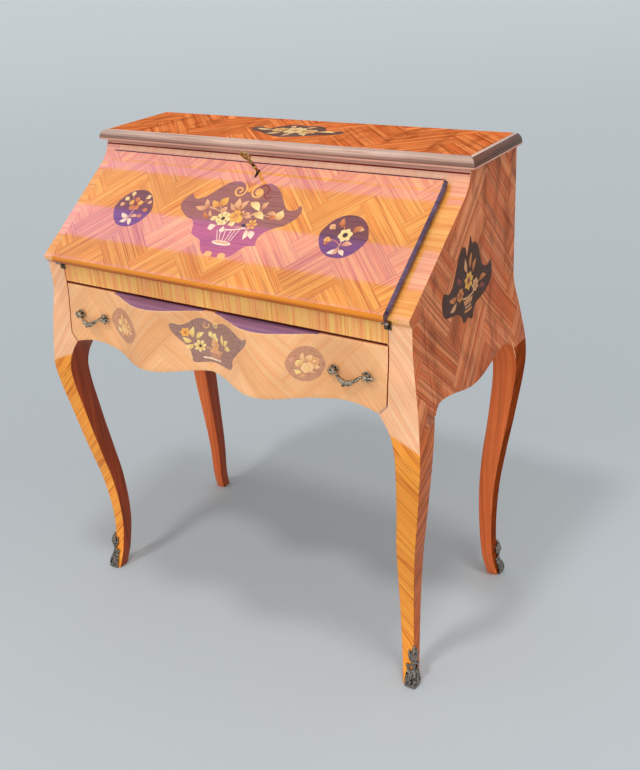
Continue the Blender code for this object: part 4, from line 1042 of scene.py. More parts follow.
# handles: a beaded knob at one end, a leaf rosette at the other, and a bail with pearls between
handleLook = {
    "centre": 0.2983, "span": 0.064, "z": 0.6475, "seat": -0.19117, "standoff": 0.0095, "drop": 0.0108,
    "forward": 0.0088, "wire": 0.0028, "swell": 0.0016, "ball": 0.0050, "pivot": 0.0014, "stub": 0.0024,
    "steps": 26, "clearance": 0.0003,
    "pearls": ((0.17, 0.0036), (0.25, 0.0046), (0.335, 0.0054), (0.42, 0.0048), (0.50, 0.0040),
               (0.57, 0.0033)),
    "knobRings": (  # height, radius
        (0.0, 0.0076), (0.0012, 0.0084), (0.0022, 0.0076), (0.0030, 0.0056), (0.0048, 0.0044),
        (0.0060, 0.0052), (0.0080, 0.0066), (0.0100, 0.0072), (0.0120, 0.0064), (0.0134, 0.0044),
        (0.0142, 0.0016)),
    "leafRings": (
        (0.0, 0.0070), (0.0012, 0.0078), (0.0024, 0.0062), (0.0048, 0.0044), (0.0060, 0.0048),
        (0.0085, 0.0060), (0.0108, 0.0056), (0.0126, 0.0044), (0.0138, 0.0014)),
    "beads": (14, 0.0075, 0.0020, 0.0015, (1, 1, 1)),  # count, distance, height, radius, squash
    "gadroons": (8, 0.0060, 0.0098, 0.0021, (1, 1, 1.5)),
    "rosette": (9, 0.0056, 0.0022, (4.6, 2.4, 1.2), -0.25),  # count, distance, height, size in mm, tilt
    "tips": ((0.0, 0.0105, (8.0, 3.0, 1.8)), (0.75, 0.0068, (5.6, 2.4, 1.8)),
             (-0.75, 0.0068, (5.6, 2.4, 1.8))),
    "tipHeight": 0.0100, "tipTilt": 0.22,
    "bailLeaf": (0.86, (7.0, 2.6, 3.6), -0.55),  # share of the bail, size in mm, tilt
    "pendantAt": 0.385, "pendantRadii": (0.0024, 0.0030, 0.0026, 0.0016, 0.0004),
}
handleAxis = handleLook["seat"] - handleLook["standoff"]


def castLeaf(size, *moves):  # a small leaf of a size in millimetres, turned and set in its place
    matrix = Matrix()
    for move in moves:
        matrix = matrix @ move
    return setAt(bead((0, 0, 0), 0.001, size, 6), matrix)


def setHandle(name, parts, x):
    spot = Matrix.Translation((x, handleLook["seat"], handleLook["z"]))
    piece = setAt(joinPieces(name, parts), spot @ Matrix.Rotation(math.pi / 2, 4, "X"))
    return smoothOver(piece, 45)


def knobMount(name, x):
    parts = [turnedPiece(name, handleLook["knobRings"])]
    for label in ("beads", "gadroons"):
        count, reach, height, radius, squash = handleLook[label]
        for i in range(count):
            turn = 2 * math.pi * i / count
            parts.append(bead((reach * math.cos(turn), reach * math.sin(turn), height), radius, squash, 5))
    parts.append(bead((0, 0, 0.0140), 0.0032, (1, 1, 0.8), 6))
    return setHandle(name, parts, x)


def leafMount(name, x):
    parts = [turnedPiece(name, handleLook["leafRings"])]
    count, reach, height, size, tilt = handleLook["rosette"]
    leaves = [(2 * math.pi * i / count, reach, height, size, tilt) for i in range(count)]
    for lean, reach, size in handleLook["tips"]:  # leaves that point away from the bail
        leaves.append((lean, reach, handleLook["tipHeight"], size, handleLook["tipTilt"]))
    for turn, reach, height, size, tilt in leaves:
        parts.append(castLeaf(size, Matrix.Rotation(turn, 4, "Z"), Matrix.Translation((reach, 0, height)),
                              Matrix.Rotation(tilt, 4, "Y")))
    parts.append(bead((0, 0, 0.0136), 0.0030, (1, 1, 0.7), 6))
    return setHandle(name, parts, x)


def bailPoint(middle, share):
    droop = arch(share) ** 0.8
    bend = handleLook["span"] / 2 - handleLook["ball"] - handleLook["clearance"] - handleLook["wire"]
    return Vector((middle - bend + 2 * bend * share, handleAxis - handleLook["forward"] * droop,
                   handleLook["z"] - handleLook["drop"] * droop))


def makeBail(name, middle):
    look = handleLook
    shoulder = look["span"] / 2 - look["ball"] * 0.45
    stubs = [Vector((middle + reach, handleAxis, look["z"]))
             for reach in (-shoulder, -shoulder + look["stub"], shoulder - look["stub"], shoulder)]
    shares = evenly(look["steps"])
    path = stubs[:2] + [bailPoint(middle, share) for share in shares] + stubs[2:]
    radii = [look["wire"] * 0.85 + look["swell"] * arch(share) for share in shares]
    parts = [wire(name, path, [look["pivot"]] * 2 + radii + [look["pivot"]] * 2)]
    under = [bailPoint(middle, 0.10 + 0.80 * t) + Vector((0, -0.0004, -0.0052 * arch(t) ** 0.7))
             for t in evenly(20)]
    parts.append(wire("underScroll", under, [0.0010 + 0.0008 * arch(t) for t in evenly(20)]))
    parts += [bead(bailPoint(middle, share), radius, (0.75, 1, 1), 6) for share, radius in look["pearls"]]
    low = bailPoint(middle, look["pendantAt"])
    hanging = [low + Vector((0, -0.0005, -0.0040 - 0.0016 * i)) for i in range(len(look["pendantRadii"]))]
    parts.append(wire("pendant", hanging, look["pendantRadii"]))
    share, size, tilt = look["bailLeaf"]
    parts.append(castLeaf(size, Matrix.Translation(bailPoint(middle, share)), Matrix.Rotation(tilt, 4, "Y")))
    return smoothOver(joinPieces(name, parts), 45)


for word, side in bothSides:
    middle, half, lower = side * handleLook["centre"], handleLook["span"] / 2, word.lower()
    knobEnd, leafEnd = ("outer", "inner") if side < 0 else ("inner", "outer")
    knob = knobMount("handleKnob" + word, middle - half)
    place(knob, "drawer", "bronze", "bronze", "handle_mount_%s_%s" % (lower, knobEnd))
    rosette = leafMount("handleLeaf" + word, middle + half)
    place(rosette, "drawer", "bronze", "bronze", "handle_mount_%s_%s" % (lower, leafEnd))
    place(makeBail("handleBail" + word, middle), "bail_" + lower, "bronze", "bronze", "handle_bail_" + lower)
print("handles made")


# key: ringed shank, bit, and an openwork bow of two scrolls in a ring
keyLook = {
    "place": Vector((0, 0.00556, 0.90035)), "up": Vector((0, 0.74314, 0.66913)),
    "out": Vector((0, -0.66913, 0.74314)), "bowMiddle": 0.0643, "bowWide": 0.0091, "bowLong": 0.0111,
    "wire": 0.0017, "bit": (0.0020, 0.0060, 0.0050), "bitSpot": (0, -0.0030, 0.0006),
    "scroll": 0.0011, "scrollReach": 0.0040, "scrollSpot": 0.0042, "scrollTurn": 1.7 * 1.3 * math.pi,
    "shank": (  # height, radius
        (-0.0022, 0.0024), (0.0280, 0.0024), (0.0285, 0.0034), (0.0308, 0.0040), (0.0332, 0.0034),
        (0.0338, 0.0024), (0.0420, 0.0022), (0.0426, 0.0034), (0.0448, 0.0042), (0.0470, 0.0034),
        (0.0478, 0.0028), (0.0522, 0.0022)),
}


def keyScroll(side):
    look, path = keyLook, []
    for t in evenly(20):
        reach = look["scrollReach"] * (1 - 0.75 * t)
        angle = look["scrollTurn"] * t - math.pi / 2
        across = look["scrollSpot"] + reach * math.cos(angle)
        height = look["bowMiddle"] - 0.0022 - 0.00256 * (1 - t) + reach * math.sin(angle)
        path.append((side * across, 0, height))
    return wire("scroll", path, [look["scroll"] * (1 - 0.35 * t) for t in evenly(20)])


def makeKey():
    look = keyLook
    parts = [turnedPiece("key", look["shank"], 20)]
    middle, wide, tall = look["bowMiddle"], look["bowWide"], look["bowLong"]
    turns = [2 * math.pi * i / 36 for i in range(36)]
    ring = [(wide * math.sin(t), 0, middle - tall * math.cos(t)) for t in turns]
    parts.append(wire("ring", ring, [look["wire"]] * len(ring), True))
    parts += [keyScroll(side) for side in (-1, 1)]
    post = [(0, 0, middle - tall), (0, 0, middle - 0.002), (0, 0, middle + tall)]
    parts.append(wire("post", post, (0.0013, 0.0016, 0.0012)))
    clearHands()
    bpy.ops.mesh.primitive_cube_add(size=1, location=look["bitSpot"])
    bit = inEdit(named("bit"), (pull, look["bit"], look["bitSpot"]))
    parts.append(softenEdges(settle(bit), 0.0004))
    key = joinPieces("key", parts)
    upright = Matrix((Vector((1, 0, 0)), look["up"], look["out"])).transposed().to_4x4()
    setAt(key, Matrix.Translation(look["place"]) @ upright)
    place(smoothOver(key, 45), "key", "brass", "brass", "key")


makeKey()
print("key made")


# marquetry: flat shapes in millimetres, let into a panel by a placing function
def smoothStep(a, b, c, d, t):  # a point of the smooth line from b to c, led by a and d
    bend, twist = 2 * a - 5 * b + 4 * c - d, 3 * b - a - 3 * c + d
    return 0.5 * (2 * b + (c - a) * t + bend * t * t + twist * t ** 3)


def ground(points, wood, parts=4):  # a smooth closed line through given points
    line = []
    for i in range(len(points)):
        corners = [Vector(points[(i + k) % len(points)]) for k in (-1, 0, 1, 2)]
        line += [smoothStep(*corners, k / parts) for k in range(parts)]
    return [{"line": line, "wood": wood, "layer": 0}]


def strip(left, low, right, high, wood):
    corners = ((left, low), (right, low), (right, high), (left, high))
    return [{"line": [Vector(spot) for spot in corners], "wood": wood, "layer": 0}]


def lemon(x, y, wide, tall, wood):  # an oval with a point at each end
    shares = [-math.cos(math.pi * t) for t in evenly(24)]
    rise = [tall * (1 - abs(t) ** 2.3) ** 0.70 for t in shares]
    top = [Vector((x + wide * t, y + height)) for t, height in zip(shares, rise)]
    low = [Vector((x + wide * t, y - height)) for t, height in zip(shares, rise)][1:-1]
    return [{"line": top[::-1] + low, "wood": wood, "layer": 0}]


def petal(x, y, length, width, angle, wood, full=1.7, bend=0.0):  # from its root at x, y
    turn = math.radians(angle)
    along, across = Vector((math.cos(turn), math.sin(turn))), Vector((-math.sin(turn), math.cos(turn)))
    root, right, left = Vector((x, y)), [], []
    for t in evenly(12):
        spine = root + along * length * t + across * bend * length * arch(t)
        half = width / 2 * arch(t ** full)
        right.append(spine - across * half)
        left.append(spine + across * half)
    tip = root + along * length
    return [{"line": right + left[-2:0:-1], "wood": wood, "layer": 2, "root": root, "tip": tip}]


def leaf(x, y, length, width, angle, wood):
    return petal(x, y, length, width, angle, wood, 0.85, 0.12)


def disc(x, y, radius, wood, tall=None, layer=3):
    turns = [2 * math.pi * i / 20 for i in range(20)]
    line = [Vector((x + radius * math.cos(t), y + (tall or radius) * math.sin(t))) for t in turns]
    return [{"line": line, "wood": wood, "layer": layer}]


def flower(x, y, radius, count, wood, eye, turn=0.0, width=0.55, eyeSize=0.27):
    shapes = []
    for i in range(count):
        shapes += petal(x, y, radius, radius * width, turn + 360 * i / count, wood)
    return shapes + disc(x, y, radius * eyeSize, eye)


def ribbon(line, widths, wood, layer):  # a flat piece for each stretch of a line
    shapes = []
    for start, end, width in zip(line, line[1:], widths):
        run = (end - start).normalized()
        side = Vector((-run.y, run.x)) * width / 2
        corners = [start - side, end - side, end + side, start + side]
        shapes.append({"line": corners, "wood": wood, "layer": layer})
    return shapes


def stem(points, width, wood, layer=1):
    line = [Vector(point) for point in points]
    ends = [line[0]] + line + [line[-1]]
    smooth = [smoothStep(*ends[i:i + 4], k / 6) for i in range(len(line) - 1) for k in range(6)]
    return ribbon(smooth + line[-1:], [width] * len(smooth), wood, layer)


def volute(x, y, radius, hand, wood, width, turns, start):
    spiral = []
    for t in evenly(30):
        angle = math.radians(start) + hand * 2 * math.pi * turns * t
        reach = radius * (1 - 0.86 * t)
        spiral.append(Vector((x + reach * math.cos(angle), y + reach * math.sin(angle))))
    return ribbon(spiral, [width * (1 - 0.5 * t) for t in evenly(30)], wood, 1)


def basket(x, y, wide, tall, bars, spokes):  # a woven fruit basket: foot, fan of spokes and rim
    def hoop(reach, rise, sag, width, wood, layer):
        reach, rise = wide * reach, y + tall * rise
        return stem([(x - reach, rise), (x, rise - sag), (x + reach, rise)], tall * width, wood, layer)

    shapes = hoop(0.34, 0.0, 1.0, 0.16, bars, 2) + hoop(0.28, 0.24, tall * 0.03, 0.09, spokes, 2)
    for i in range(9):
        lean = (i - 4) / 4
        shapes += petal(x + wide * 0.24 * lean, y + tall * 0.30, tall * 0.58, wide * 0.09, 90 - 26 * lean,
                        bars if i % 2 else spokes, 1.2)
    return shapes + hoop(0.5, 0.98, tall * 0.10, 0.11, spokes, 3)


def bouquet(rows):  # each row is a maker and its values, and later rows lie over earlier ones
    return [shape for make, *values in rows for shape in make(*values)]


def moved(shapes, move):  # the same shapes, every point moved
    copies = []
    for shape in shapes:
        ends = {label: move(shape[label]) for label in ("root", "tip") if label in shape}
        copies.append({**shape, **ends, "line": [move(spot) for spot in shape["line"]]})
    return copies


inlayLook = {"first": 0.00010, "step": 0.00007, "thickness": 0.0004, "scorch": 0.85, "scorchFall": 1.5}


def letIn(name, body, shapes, onPanel, finish, flip=False, cuts=()):
    mesh = bmesh.new()
    burn = mesh.verts.layers.float.new("scorch")
    level = mesh.verts.layers.float.new("level")
    woods = []
    for shape in shapes:
        line = shape["line"]
        area = sum(a.x * b.y - b.x * a.y for a, b in zip(line, line[1:] + line[:1]))
        verts = []
        for point in (line if area > 0 else reversed(line)):
            vert = mesh.verts.new((point.x, point.y, 0))
            vert[level] = shape["layer"]
            if "root" in shape:
                run = shape["tip"] - shape["root"]
                share = (point - shape["root"]).dot(run) / run.length_squared
                scorch = inlayLook["scorch"] - share * inlayLook["scorchFall"]
                vert[burn] = min(max(scorch, 0.0), inlayLook["scorch"])
            verts.append(vert)
        if shape["wood"] not in woods:
            woods.append(shape["wood"])
        mesh.faces.new(verts).material_index = woods.index(shape["wood"])
    mesh.normal_update()
    bmesh.ops.triangulate(mesh, faces=mesh.faces[:], ngon_method="EAR_CLIP")
    for axis, spacing in enumerate(cuts):  # cut up to follow a curved panel
        low, high = (f(v.co[axis] for v in mesh.verts) for f in (min, max))
        normal = Vector((1, 0, 0)) if axis == 0 else Vector((0, 1, 0))
        for i in range(int(low / spacing), int(high / spacing) + 1):
            bmesh.ops.bisect_plane(mesh, geom=mesh.verts[:] + mesh.edges[:] + mesh.faces[:], dist=0.0001,
                                   plane_co=normal * i * spacing, plane_no=normal)
    for vert in mesh.verts:
        lift = inlayLook["first"] + inlayLook["step"] * vert[level]
        vert.co = onPanel(vert.co.x / 1000, vert.co.y / 1000, lift)
    if flip:
        bmesh.ops.reverse_faces(mesh, faces=mesh.faces[:])
    data = bpy.data.meshes.new(name)
    mesh.to_mesh(data)
    mesh.free()
    piece = addObject(name, data)
    for wood in woods:
        data.materials.append(finishes[wood])
    finishWith(piece, "SOLIDIFY", thickness=inlayLook["thickness"], offset=-1.0)
    return place(piece, body, finish, None)


# placing functions: across the panel, up the panel, and the lift off its face
coveLook = {"start": 0.2357, "radius": 0.0726, "centre": Vector((0, -0.0431, 0.9542))}
frieze = [vert.co for vert in nodes["frieze_rail"].data.vertices]
friezeFront, friezeLow = min(spot.y for spot in frieze), min(spot.z for spot in frieze)
sideGap = 0.0003


def onCase(u, v, lift):  # v runs up the slope from its nose and on round the hollow
    past = v - coveLook["start"]
    if past <= 0:
        return caseLines["nose"] + Vector((u, 0, 0)) + upSlope * v + offSlope * lift
    reach = coveLook["radius"] - lift
    turn = caseLines["slope"] + past / reach
    return coveLook["centre"] + Vector((u, reach * math.sin(turn), -reach * math.cos(turn)))


def onFall(u, v, lift):
    return onCase(u, v, caseLines["lidFace"] + lift)


def onFrieze(u, v, lift):
    return Vector((u, friezeFront - lift, friezeLow + v))


def onDrawer(u, v, lift):
    return Vector((u, drawerFace(u, v) - lift, v))


def onSide(u, v, lift):
    return Vector((caseLines["half"] + legShape(v, "side") + sideGap + lift, u, v))


def onOtherSide(u, v, lift):
    spot = onSide(u, v, lift)
    return Vector((-spot.x, spot.y, spot.z))


def onTop(u, v, lift):
    return Vector((u, v, caseLines["top"] + lift))


fallCartouche = {
    "outline": (
        (-117, 177), (-124, 171), (-130, 162), (-132, 152), (-127, 142), (-115, 132), (-102, 124), (-87, 120),
        (-77, 107), (-72, 91), (-54, 83), (-45, 79), (-38, 68), (-31, 58), (-22, 52), (-3, 49), (16, 49),
        (31, 52), (42, 60), (52, 73), (61, 81), (76, 84), (74, 92), (75, 104), (83, 115), (98, 125),
        (113, 132), (126, 144), (133, 156), (134, 168), (127, 178), (123, 170), (114, 165), (103, 167),
        (95, 174), (87, 184), (76, 197), (65, 208), (53, 215), (39, 218), (28, 215), (20, 209), (13, 201),
        (6, 194), (-3, 198), (-8, 206), (-14, 212), (-24, 216), (-37, 215), (-47, 211), (-56, 204),
        (-64, 196), (-72, 187), (-81, 177), (-90, 171), (-101, 167), (-111, 170)),
    "voluteLeft": ((-9, 211), (-3, 200), (-5, 189), (-15, 184), (-24, 190), (-25, 198), (-19, 202),
                   (-12, 199), (-12, 194), (-16, 192)),
    "voluteRight": ((18, 212), (12, 203), (13, 192), (22, 185), (32, 187), (35, 195), (29, 202), (21, 201),
                    (20, 195), (25, 193)),
    "redScroll": ((25, 206), (31, 213), (42, 209), (46, 199), (41, 191), (50, 184), (58, 189)),
    "stems": (
        ((-65, 153), (-48, 150), (-33, 144), (-20, 136)), ((-66, 154), (-58, 150), (-45, 149)),
        ((-40, 157), (-34, 148), (-28, 142)), ((5, 152), (8, 142), (4, 130)),
        ((98, 143), (74, 147), (46, 148), (20, 140)), ((52, 161), (46, 152), (34, 146)),
        ((42, 114), (30, 118), (14, 116))),
    "spokes": (((-19, 105), (-8, 83)), ((-11, 104), (-3, 83)), ((-1, 108), (3, 84)), ((12, 109), (9, 85)),
               ((19, 110), (15, 86)), ((28, 113), (20, 86))),
    "leaves": (  # root, length, width, angle, wood
        (-65, 153, 31, 11, -173, "pearwood"), (-66, 154, 19, 9, 128, "pearwood"),
        (-41, 156, 25, 13, 152, "satinwood"), (-39, 156, 23, 18, 71, "satinwood"),
        (-28, 143, 15, 11, 78, "pearwood"), (-52, 127, 23, 8, 141, "padouk"),
        (-47, 131, 19, 6, 127, "pearwood"), (3, 152, 28, 8, 149, "pearwood"),
        (6, 153, 25, 11, 67, "pearwood"), (5, 152, 30, 15, 114, "pearwood"),
        (20, 172, 32, 14, -30, "limewood"), (38, 150, 29, 14, -21, "boxwood"),
        (52, 161, 18, 10, 68, "pearwood"), (98, 142, 22, 19, 96, "boxwood"), (66, 153, 22, 9, -4, "pearwood"),
        (74, 142, 18, 10, 17, "padouk"), (20, 140, 19, 9, 0, "pearwood"), (16, 140, 14, 8, 89, "pearwood"),
        (20, 142, 14, 7, 31, "pearwood"), (49, 112, 20, 13, -53, "ivory"), (42, 114, 22, 10, -84, "ivory")),
}
shapes = ground(fallCartouche["outline"], "fallGround") + bouquet((
    (stem, fallCartouche["voluteLeft"], 3.8, "tulipLight"),
    (stem, fallCartouche["voluteRight"], 3.8, "tulipLight"), (disc, 27, 194, 6.0, "tulipLight", None, 2),
    (stem, fallCartouche["redScroll"], 2.6, "redwood"),
    *((stem, points, 1.5, "pearwood") for points in fallCartouche["stems"]),
    *((stem, points, 1.4, "ivory") for points in fallCartouche["spokes"]),
    (disc, 4, 79.5, 21, "ivory", 5.0, 2), (disc, 4, 80.6, 17.5, "pearwood", 2.6, 3),
    (stem, ((-6, 108), (13, 110), (38, 117)), 2.6, "ivory", 2),
    *((leaf, *row) for row in fallCartouche["leaves"]),
    (flower, 5, 139, 15, 5, "satinwood", "padouk", 30, 0.85, 0.2), (disc, 15, 133, 7, "satinwood", 7.5),
    (disc, 31, 122, 5.0, "stainedGreen", 3.4, 2),
    (flower, 47, 126, 12, 6, "satinwood", "padouk", 10, 0.5, 0.24), (petal, -25, 116, 20, 14, -151, "ivory"),
    (petal, -11, 117, 16, 12, -80, "ivory"), (petal, -5, 118, 17, 14, 27, "limewood"),
    (petal, -30, 136, 20, 11, -147, "boxwood"),
    (flower, -20, 131, 16, 7, "limewood", "stainedGreen", 0, 0.85, 0.24),
    (disc, -11, 53, 8.5, "tulipLight", 6.5), (petal, -11, 48, 9, 7, 120, "padouk"),
    (disc, 19, 53, 8.5, "tulipLight", 6.5), (petal, 19, 48, 9, 7, 60, "padouk")))
letIn("fallBasketInlay", "fall", shapes, onFall, "crossband")

# oval posies on the fall, drawn at a smaller size and enlarged about a middle
fallOvals = {
    "Right": {"oval": (238, 127), "middle": Vector((239, 125)), "posy": (
        (stem, ((239, 122), (238, 108), (231, 99)), 1.4, "pearwood"),
        (stem, ((238, 108), (246, 97)), 1.4, "pearwood"),
        (stem, ((229, 148), (236, 136), (240, 124)), 1.2, "padouk"),
        (stem, ((258, 144), (248, 132), (240, 122)), 1.2, "padouk"),
        (stem, ((215, 120), (228, 118), (238, 112)), 1.2, "padouk"),
        (flower, 240, 129, 11.5, 6, "limewood", "stainedGreen", 20, 0.72, 0.34),
        (leaf, 231, 141, 17, 9, 108, "padouk"), (petal, 222, 136, 14, 10, 152, "pearwood"),
        (petal, 225, 117, 15, 11, 178, "satinwood"), (petal, 221, 115, 10, 6, 206, "padouk"),
        (leaf, 250, 134, 17, 9, 48, "padouk"), (leaf, 255, 139, 11, 7, 14, "pearwood"),
        (leaf, 241, 112, 17, 8, 12, "pearwood"), (leaf, 236, 104, 14, 7, 214, "ivory"),
        (leaf, 240, 103, 14, 7, -34, "ivory"), (leaf, 238, 106, 12, 6, 250, "pearwood"))},
    "Left": {"oval": (-240, 128), "middle": Vector((-239, 127)), "posy": (
        (stem, ((-238, 134), (-237, 120), (-240, 106)), 1.4, "pearwood"),
        (stem, ((-252, 150), (-246, 140), (-238, 130)), 1.2, "padouk"),
        (stem, ((-220, 146), (-228, 138), (-237, 128)), 1.2, "padouk"),
        (petal, -240, 136, 15, 10, 20, "satinwood"), (petal, -240, 136, 14, 10, 92, "padouk"),
        (petal, -240, 136, 14, 10, 168, "satinwood"), (petal, -240, 136, 14, 10, 246, "padouk"),
        (petal, -240, 136, 14, 10, 314, "padouk"), (disc, -240, 136, 3.6, "redwood"),
        (petal, -252, 148, 12, 8, 110, "boxwood"), (petal, -255, 141, 13, 8, 158, "boxwood"),
        (petal, -259, 134, 12, 8, 190, "pearwood"), (petal, -226, 146, 13, 8, 48, "boxwood"),
        (petal, -219, 140, 11, 7, 20, "pearwood"), (petal, -222, 128, 13, 8, -6, "padouk"),
        (petal, -226, 118, 13, 8, -24, "padouk"), (leaf, -240, 110, 18, 8, 160, "ivory"),
        (leaf, -239, 108, 16, 8, 214, "ivory"), (leaf, -238, 108, 16, 8, -58, "ivory"),
        (leaf, -237, 111, 15, 7, 8, "pearwood"))},
}
ovalLook = {"wide": 47, "tall": 44, "enlarged": 1.2}
for word, oval in fallOvals.items():
    middle, enlarged = oval["middle"], ovalLook["enlarged"]
    shapes = lemon(*oval["oval"], ovalLook["wide"], ovalLook["tall"], "fallOvalGround")
    shapes += moved(bouquet(oval["posy"]), lambda spot: middle + (spot - middle) * enlarged)
    letIn("fallOval" + word, "fall", shapes, onFall, "crossband")

# one veneer over each slope stile and the edge of the panel beside it
stileVeneer = {"inner": 373.2, "outer": 410.1, "low": 1.0, "high": 280.2}
for word, side in bothSides:
    left, right = sorted((side * stileVeneer["inner"], side * stileVeneer["outer"]))
    shapes = strip(left, stileVeneer["low"], right, stileVeneer["high"], "stileCrossband")
    smoothOver(letIn("slopeStileVeneer" + word, "carcase", shapes, onCase, "crossband", cuts=(60.0, 3.0)), 30)

# dark rounded edges down the sides of the fall; the blue in their dark stain is a painted reflection
edgeLook = {"x": 0.3702, "radius": 0.0061, "sink": 0.0066, "low": 0.003, "high": 0.2585, "steps": 44}
for word, side in bothSides:
    run = [edgeLook["low"] + (edgeLook["high"] - edgeLook["low"]) * t for t in evenly(edgeLook["steps"])]
    line = [onFall(side * edgeLook["x"], v, -edgeLook["sink"]) for v in run]
    edge = wire("fallEdge" + word, line, [edgeLook["radius"]] * len(run))
    place(smoothOver(edge, 50), "fall", "crossband", "darkEdge")

# dark lines painted as shadow: in the gap along the top of the fall, in the keyhole under the key, in the gap
# under the moulding, and in the gap over the drawer
letIn("fallTopLine", "fall", strip(-371.4, 257.4, 371.4, 259.4, "darkLine"), onFall, "crossband")
letIn("keySlot", "fall", strip(-1.9, 228.0, 1.9, 242.0, "keySlot"), onFall, "crossband")
letIn("topRailFillet", "carcase", strip(-410.0, 283.4, 410.0, 291.2, "mouldingFillet"), onCase, "crossband",
      cuts=(200.0, 2.0))
letIn("mouldingShadowLine", "carcase", strip(-409.5, 280.4, 409.5, 283.2, "redLine"), onCase, "crossband")
letIn("friezeLine", "carcase", strip(-366.0, 0.1, 366.0, 3.4, "friezeGap"), onFrieze, "crossband")

drawerCartouche = {
    "shift": 6, "outline": (
        (-80, 678), (-79, 669), (-71, 657), (-60, 646), (-50, 637), (-45, 627), (-42, 615), (-40, 606),
        (-24, 606), (0, 609), (26, 610), (52, 613), (62, 620), (66, 636), (80, 651), (97, 667), (105, 677),
        (105, 686), (97, 682), (84, 684), (66, 689), (46, 691), (33, 690), (22, 687), (6, 680), (-8, 684),
        (-18, 688), (-30, 689), (-42, 684), (-52, 678), (-64, 676), (-73, 679)),
    "flowers": (
        (volute, -10, 677, 7, -1, "pearwood", 2.4, 1.4, 20),
        (volute, 14, 681, 7, 1, "boxwood", 2.4, 1.4, 160), (basket, 13, 618, 44, 17, "rosewood", "pearwood"),
        (flower, 12, 643, 11, 6, "pearwood", "rosewood", 15, 0.8, 0.3),
        (stem, ((-16, 616), (6, 615), (29, 617)), 2.6, "ivory", 2),
        (flower, -47, 662, 9, 6, "tulipLight", "padouk", 0, 0.7, 0.25),
        (flower, -21, 637, 12, 7, "limewood", "stainedGreen", 10, 0.5, 0.2),
        (petal, 6, 651, 17, 10, 124, "limewood"), (petal, 6, 651, 15, 10, 62, "limewood"),
        (petal, 7, 651, 14, 9, 18, "limewood")),
    "leafWidth": 8.5,
    "leaves": (  # root, length, angle
        (-34, 652, 21, 84), (-28, 650, 19, 40), (-36, 644, 18, 150), (-32, 638, 16, 190), (36, 648, 21, 96),
        (40, 648, 20, 48), (42, 644, 21, 14)),
}
shapes = ground([(x + drawerCartouche["shift"], y) for x, y in drawerCartouche["outline"]], "drawerGround")
shapes += bouquet(drawerCartouche["flowers"])
for x, y, length, angle in drawerCartouche["leaves"]:
    shapes += leaf(x, y, length, drawerCartouche["leafWidth"], angle, "limewood")
letIn("drawerBasketInlay", "drawer", shapes, onDrawer, "crossband", cuts=(5.0, 12.0))
drawerOvals = {
    "z": 650, "tall": 31, "ovals": (("Right", 215, 33), ("Left", -199, 50)),  # middle, half width
    "posy": (  # from the middle of the oval
        (flower, 2, -7, 10, 6, "fadedApricot", "boxwood", 12, 0.9, 0.3),
        (flower, 13, 5, 8.5, 5, "pearwood", "fadedApricot", 40, 0.9, 0.3),
        (leaf, -2, 2, 19, 6.5, 98, "fadedApricot"), (leaf, 2, 3, 15, 10, 60, "fadedApricot"),
        (leaf, -3, 1, 13, 8.5, 158, "boxwood"), (leaf, -6, -4, 13, 6, 146, "fadedApricot"),
        (leaf, -15, 6, 10, 9, 170, "rosewood"), (leaf, -6, -17, 13, 7.5, 146, "limewood"),
        (leaf, 11, -7, 11, 7, 8, "fadedApricot"), (leaf, 1, -16, 13, 3.6, 212, "pearwood"),
        (leaf, 2, -16, 13, 3.6, 4, "pearwood")),
}
for word, x, wide in drawerOvals["ovals"]:
    z, tall = drawerOvals["z"], drawerOvals["tall"]
    shapes = lemon(x, z, wide, tall, "ovalGround")
    shapes += moved(bouquet(drawerOvals["posy"]), lambda spot: Vector((x + spot.x * wide / tall, z + spot.y)))
    letIn("drawerOval" + word, "drawer", shapes, onDrawer, "crossband", cuts=(4.0, 12.0))

sideCartouche = {
    "outline": (
        (-73, 759), (-81, 748), (-79, 729), (-69, 715), (-48, 710), (-24, 705), (-11, 696), (-2, 681),
        (14, 686), (30, 679), (40, 696), (52, 703), (73, 707), (95, 715), (108, 726), (113, 740), (107, 761),
        (93, 756), (74, 763), (64, 780), (56, 801), (43, 814), (31, 815), (25, 829), (18, 812), (11, 797),
        (6, 813), (-6, 817), (-19, 805), (-28, 787), (-36, 771), (-46, 758), (-58, 753)),
    "flowers": (
        (basket, 16, 700, 40, 26, "padouk", "pearwood"),
        (flower, 18, 752, 17, 7, "satinwood", "redwood", 8, 0.56),
        (flower, -14, 736, 13, 7, "padouk", "redwood", 0),
        (flower, 44, 736, 13, 7, "pearwood", "padouk", 20)),
    "leafWidth": 10,
    "leaves": (  # root, length, angle, wood
        (-26, 738, 30, 174, "padouk"), (58, 738, 30, 4, "padouk"), (-8, 756, 24, 140, "redwood"),
        (34, 762, 26, 60, "padouk"), (12, 768, 28, 104, "pearwood"), (-28, 728, 26, 200, "pearwood"),
        (56, 728, 28, -16, "redwood"), (24, 772, 28, 78, "padouk")),
}
topCartouche = {
    "outline": (
        (-97, 112), (-101, 127), (-92, 137), (-76, 130), (-62, 128), (-54, 146), (-38, 164), (-16, 168),
        (0, 162), (16, 168), (38, 164), (54, 148), (64, 131), (80, 130), (94, 138), (104, 128), (100, 112),
        (86, 104), (68, 96), (46, 84), (24, 72), (0, 66), (-24, 72), (-46, 84), (-68, 96), (-86, 103)),
    "flowers": (
        (flower, 0, 122, 26, 8, "boxwood", "padouk", 10, 0.55),
        (flower, -34, 120, 18, 7, "satinwood", "padouk", 0),
        (flower, 34, 120, 18, 7, "satinwood", "padouk", 20)),
    "leafWidth": 11, "leaves": (
        (-50, 120, 40, 176, "boxwood"), (50, 120, 40, 4, "boxwood"), (-14, 140, 24, 120, "pearwood"),
        (14, 140, 24, 60, "pearwood"), (-20, 102, 28, 214, "boxwood"), (20, 102, 28, -34, "boxwood"),
        (0, 100, 26, -90, "pearwood")),
}


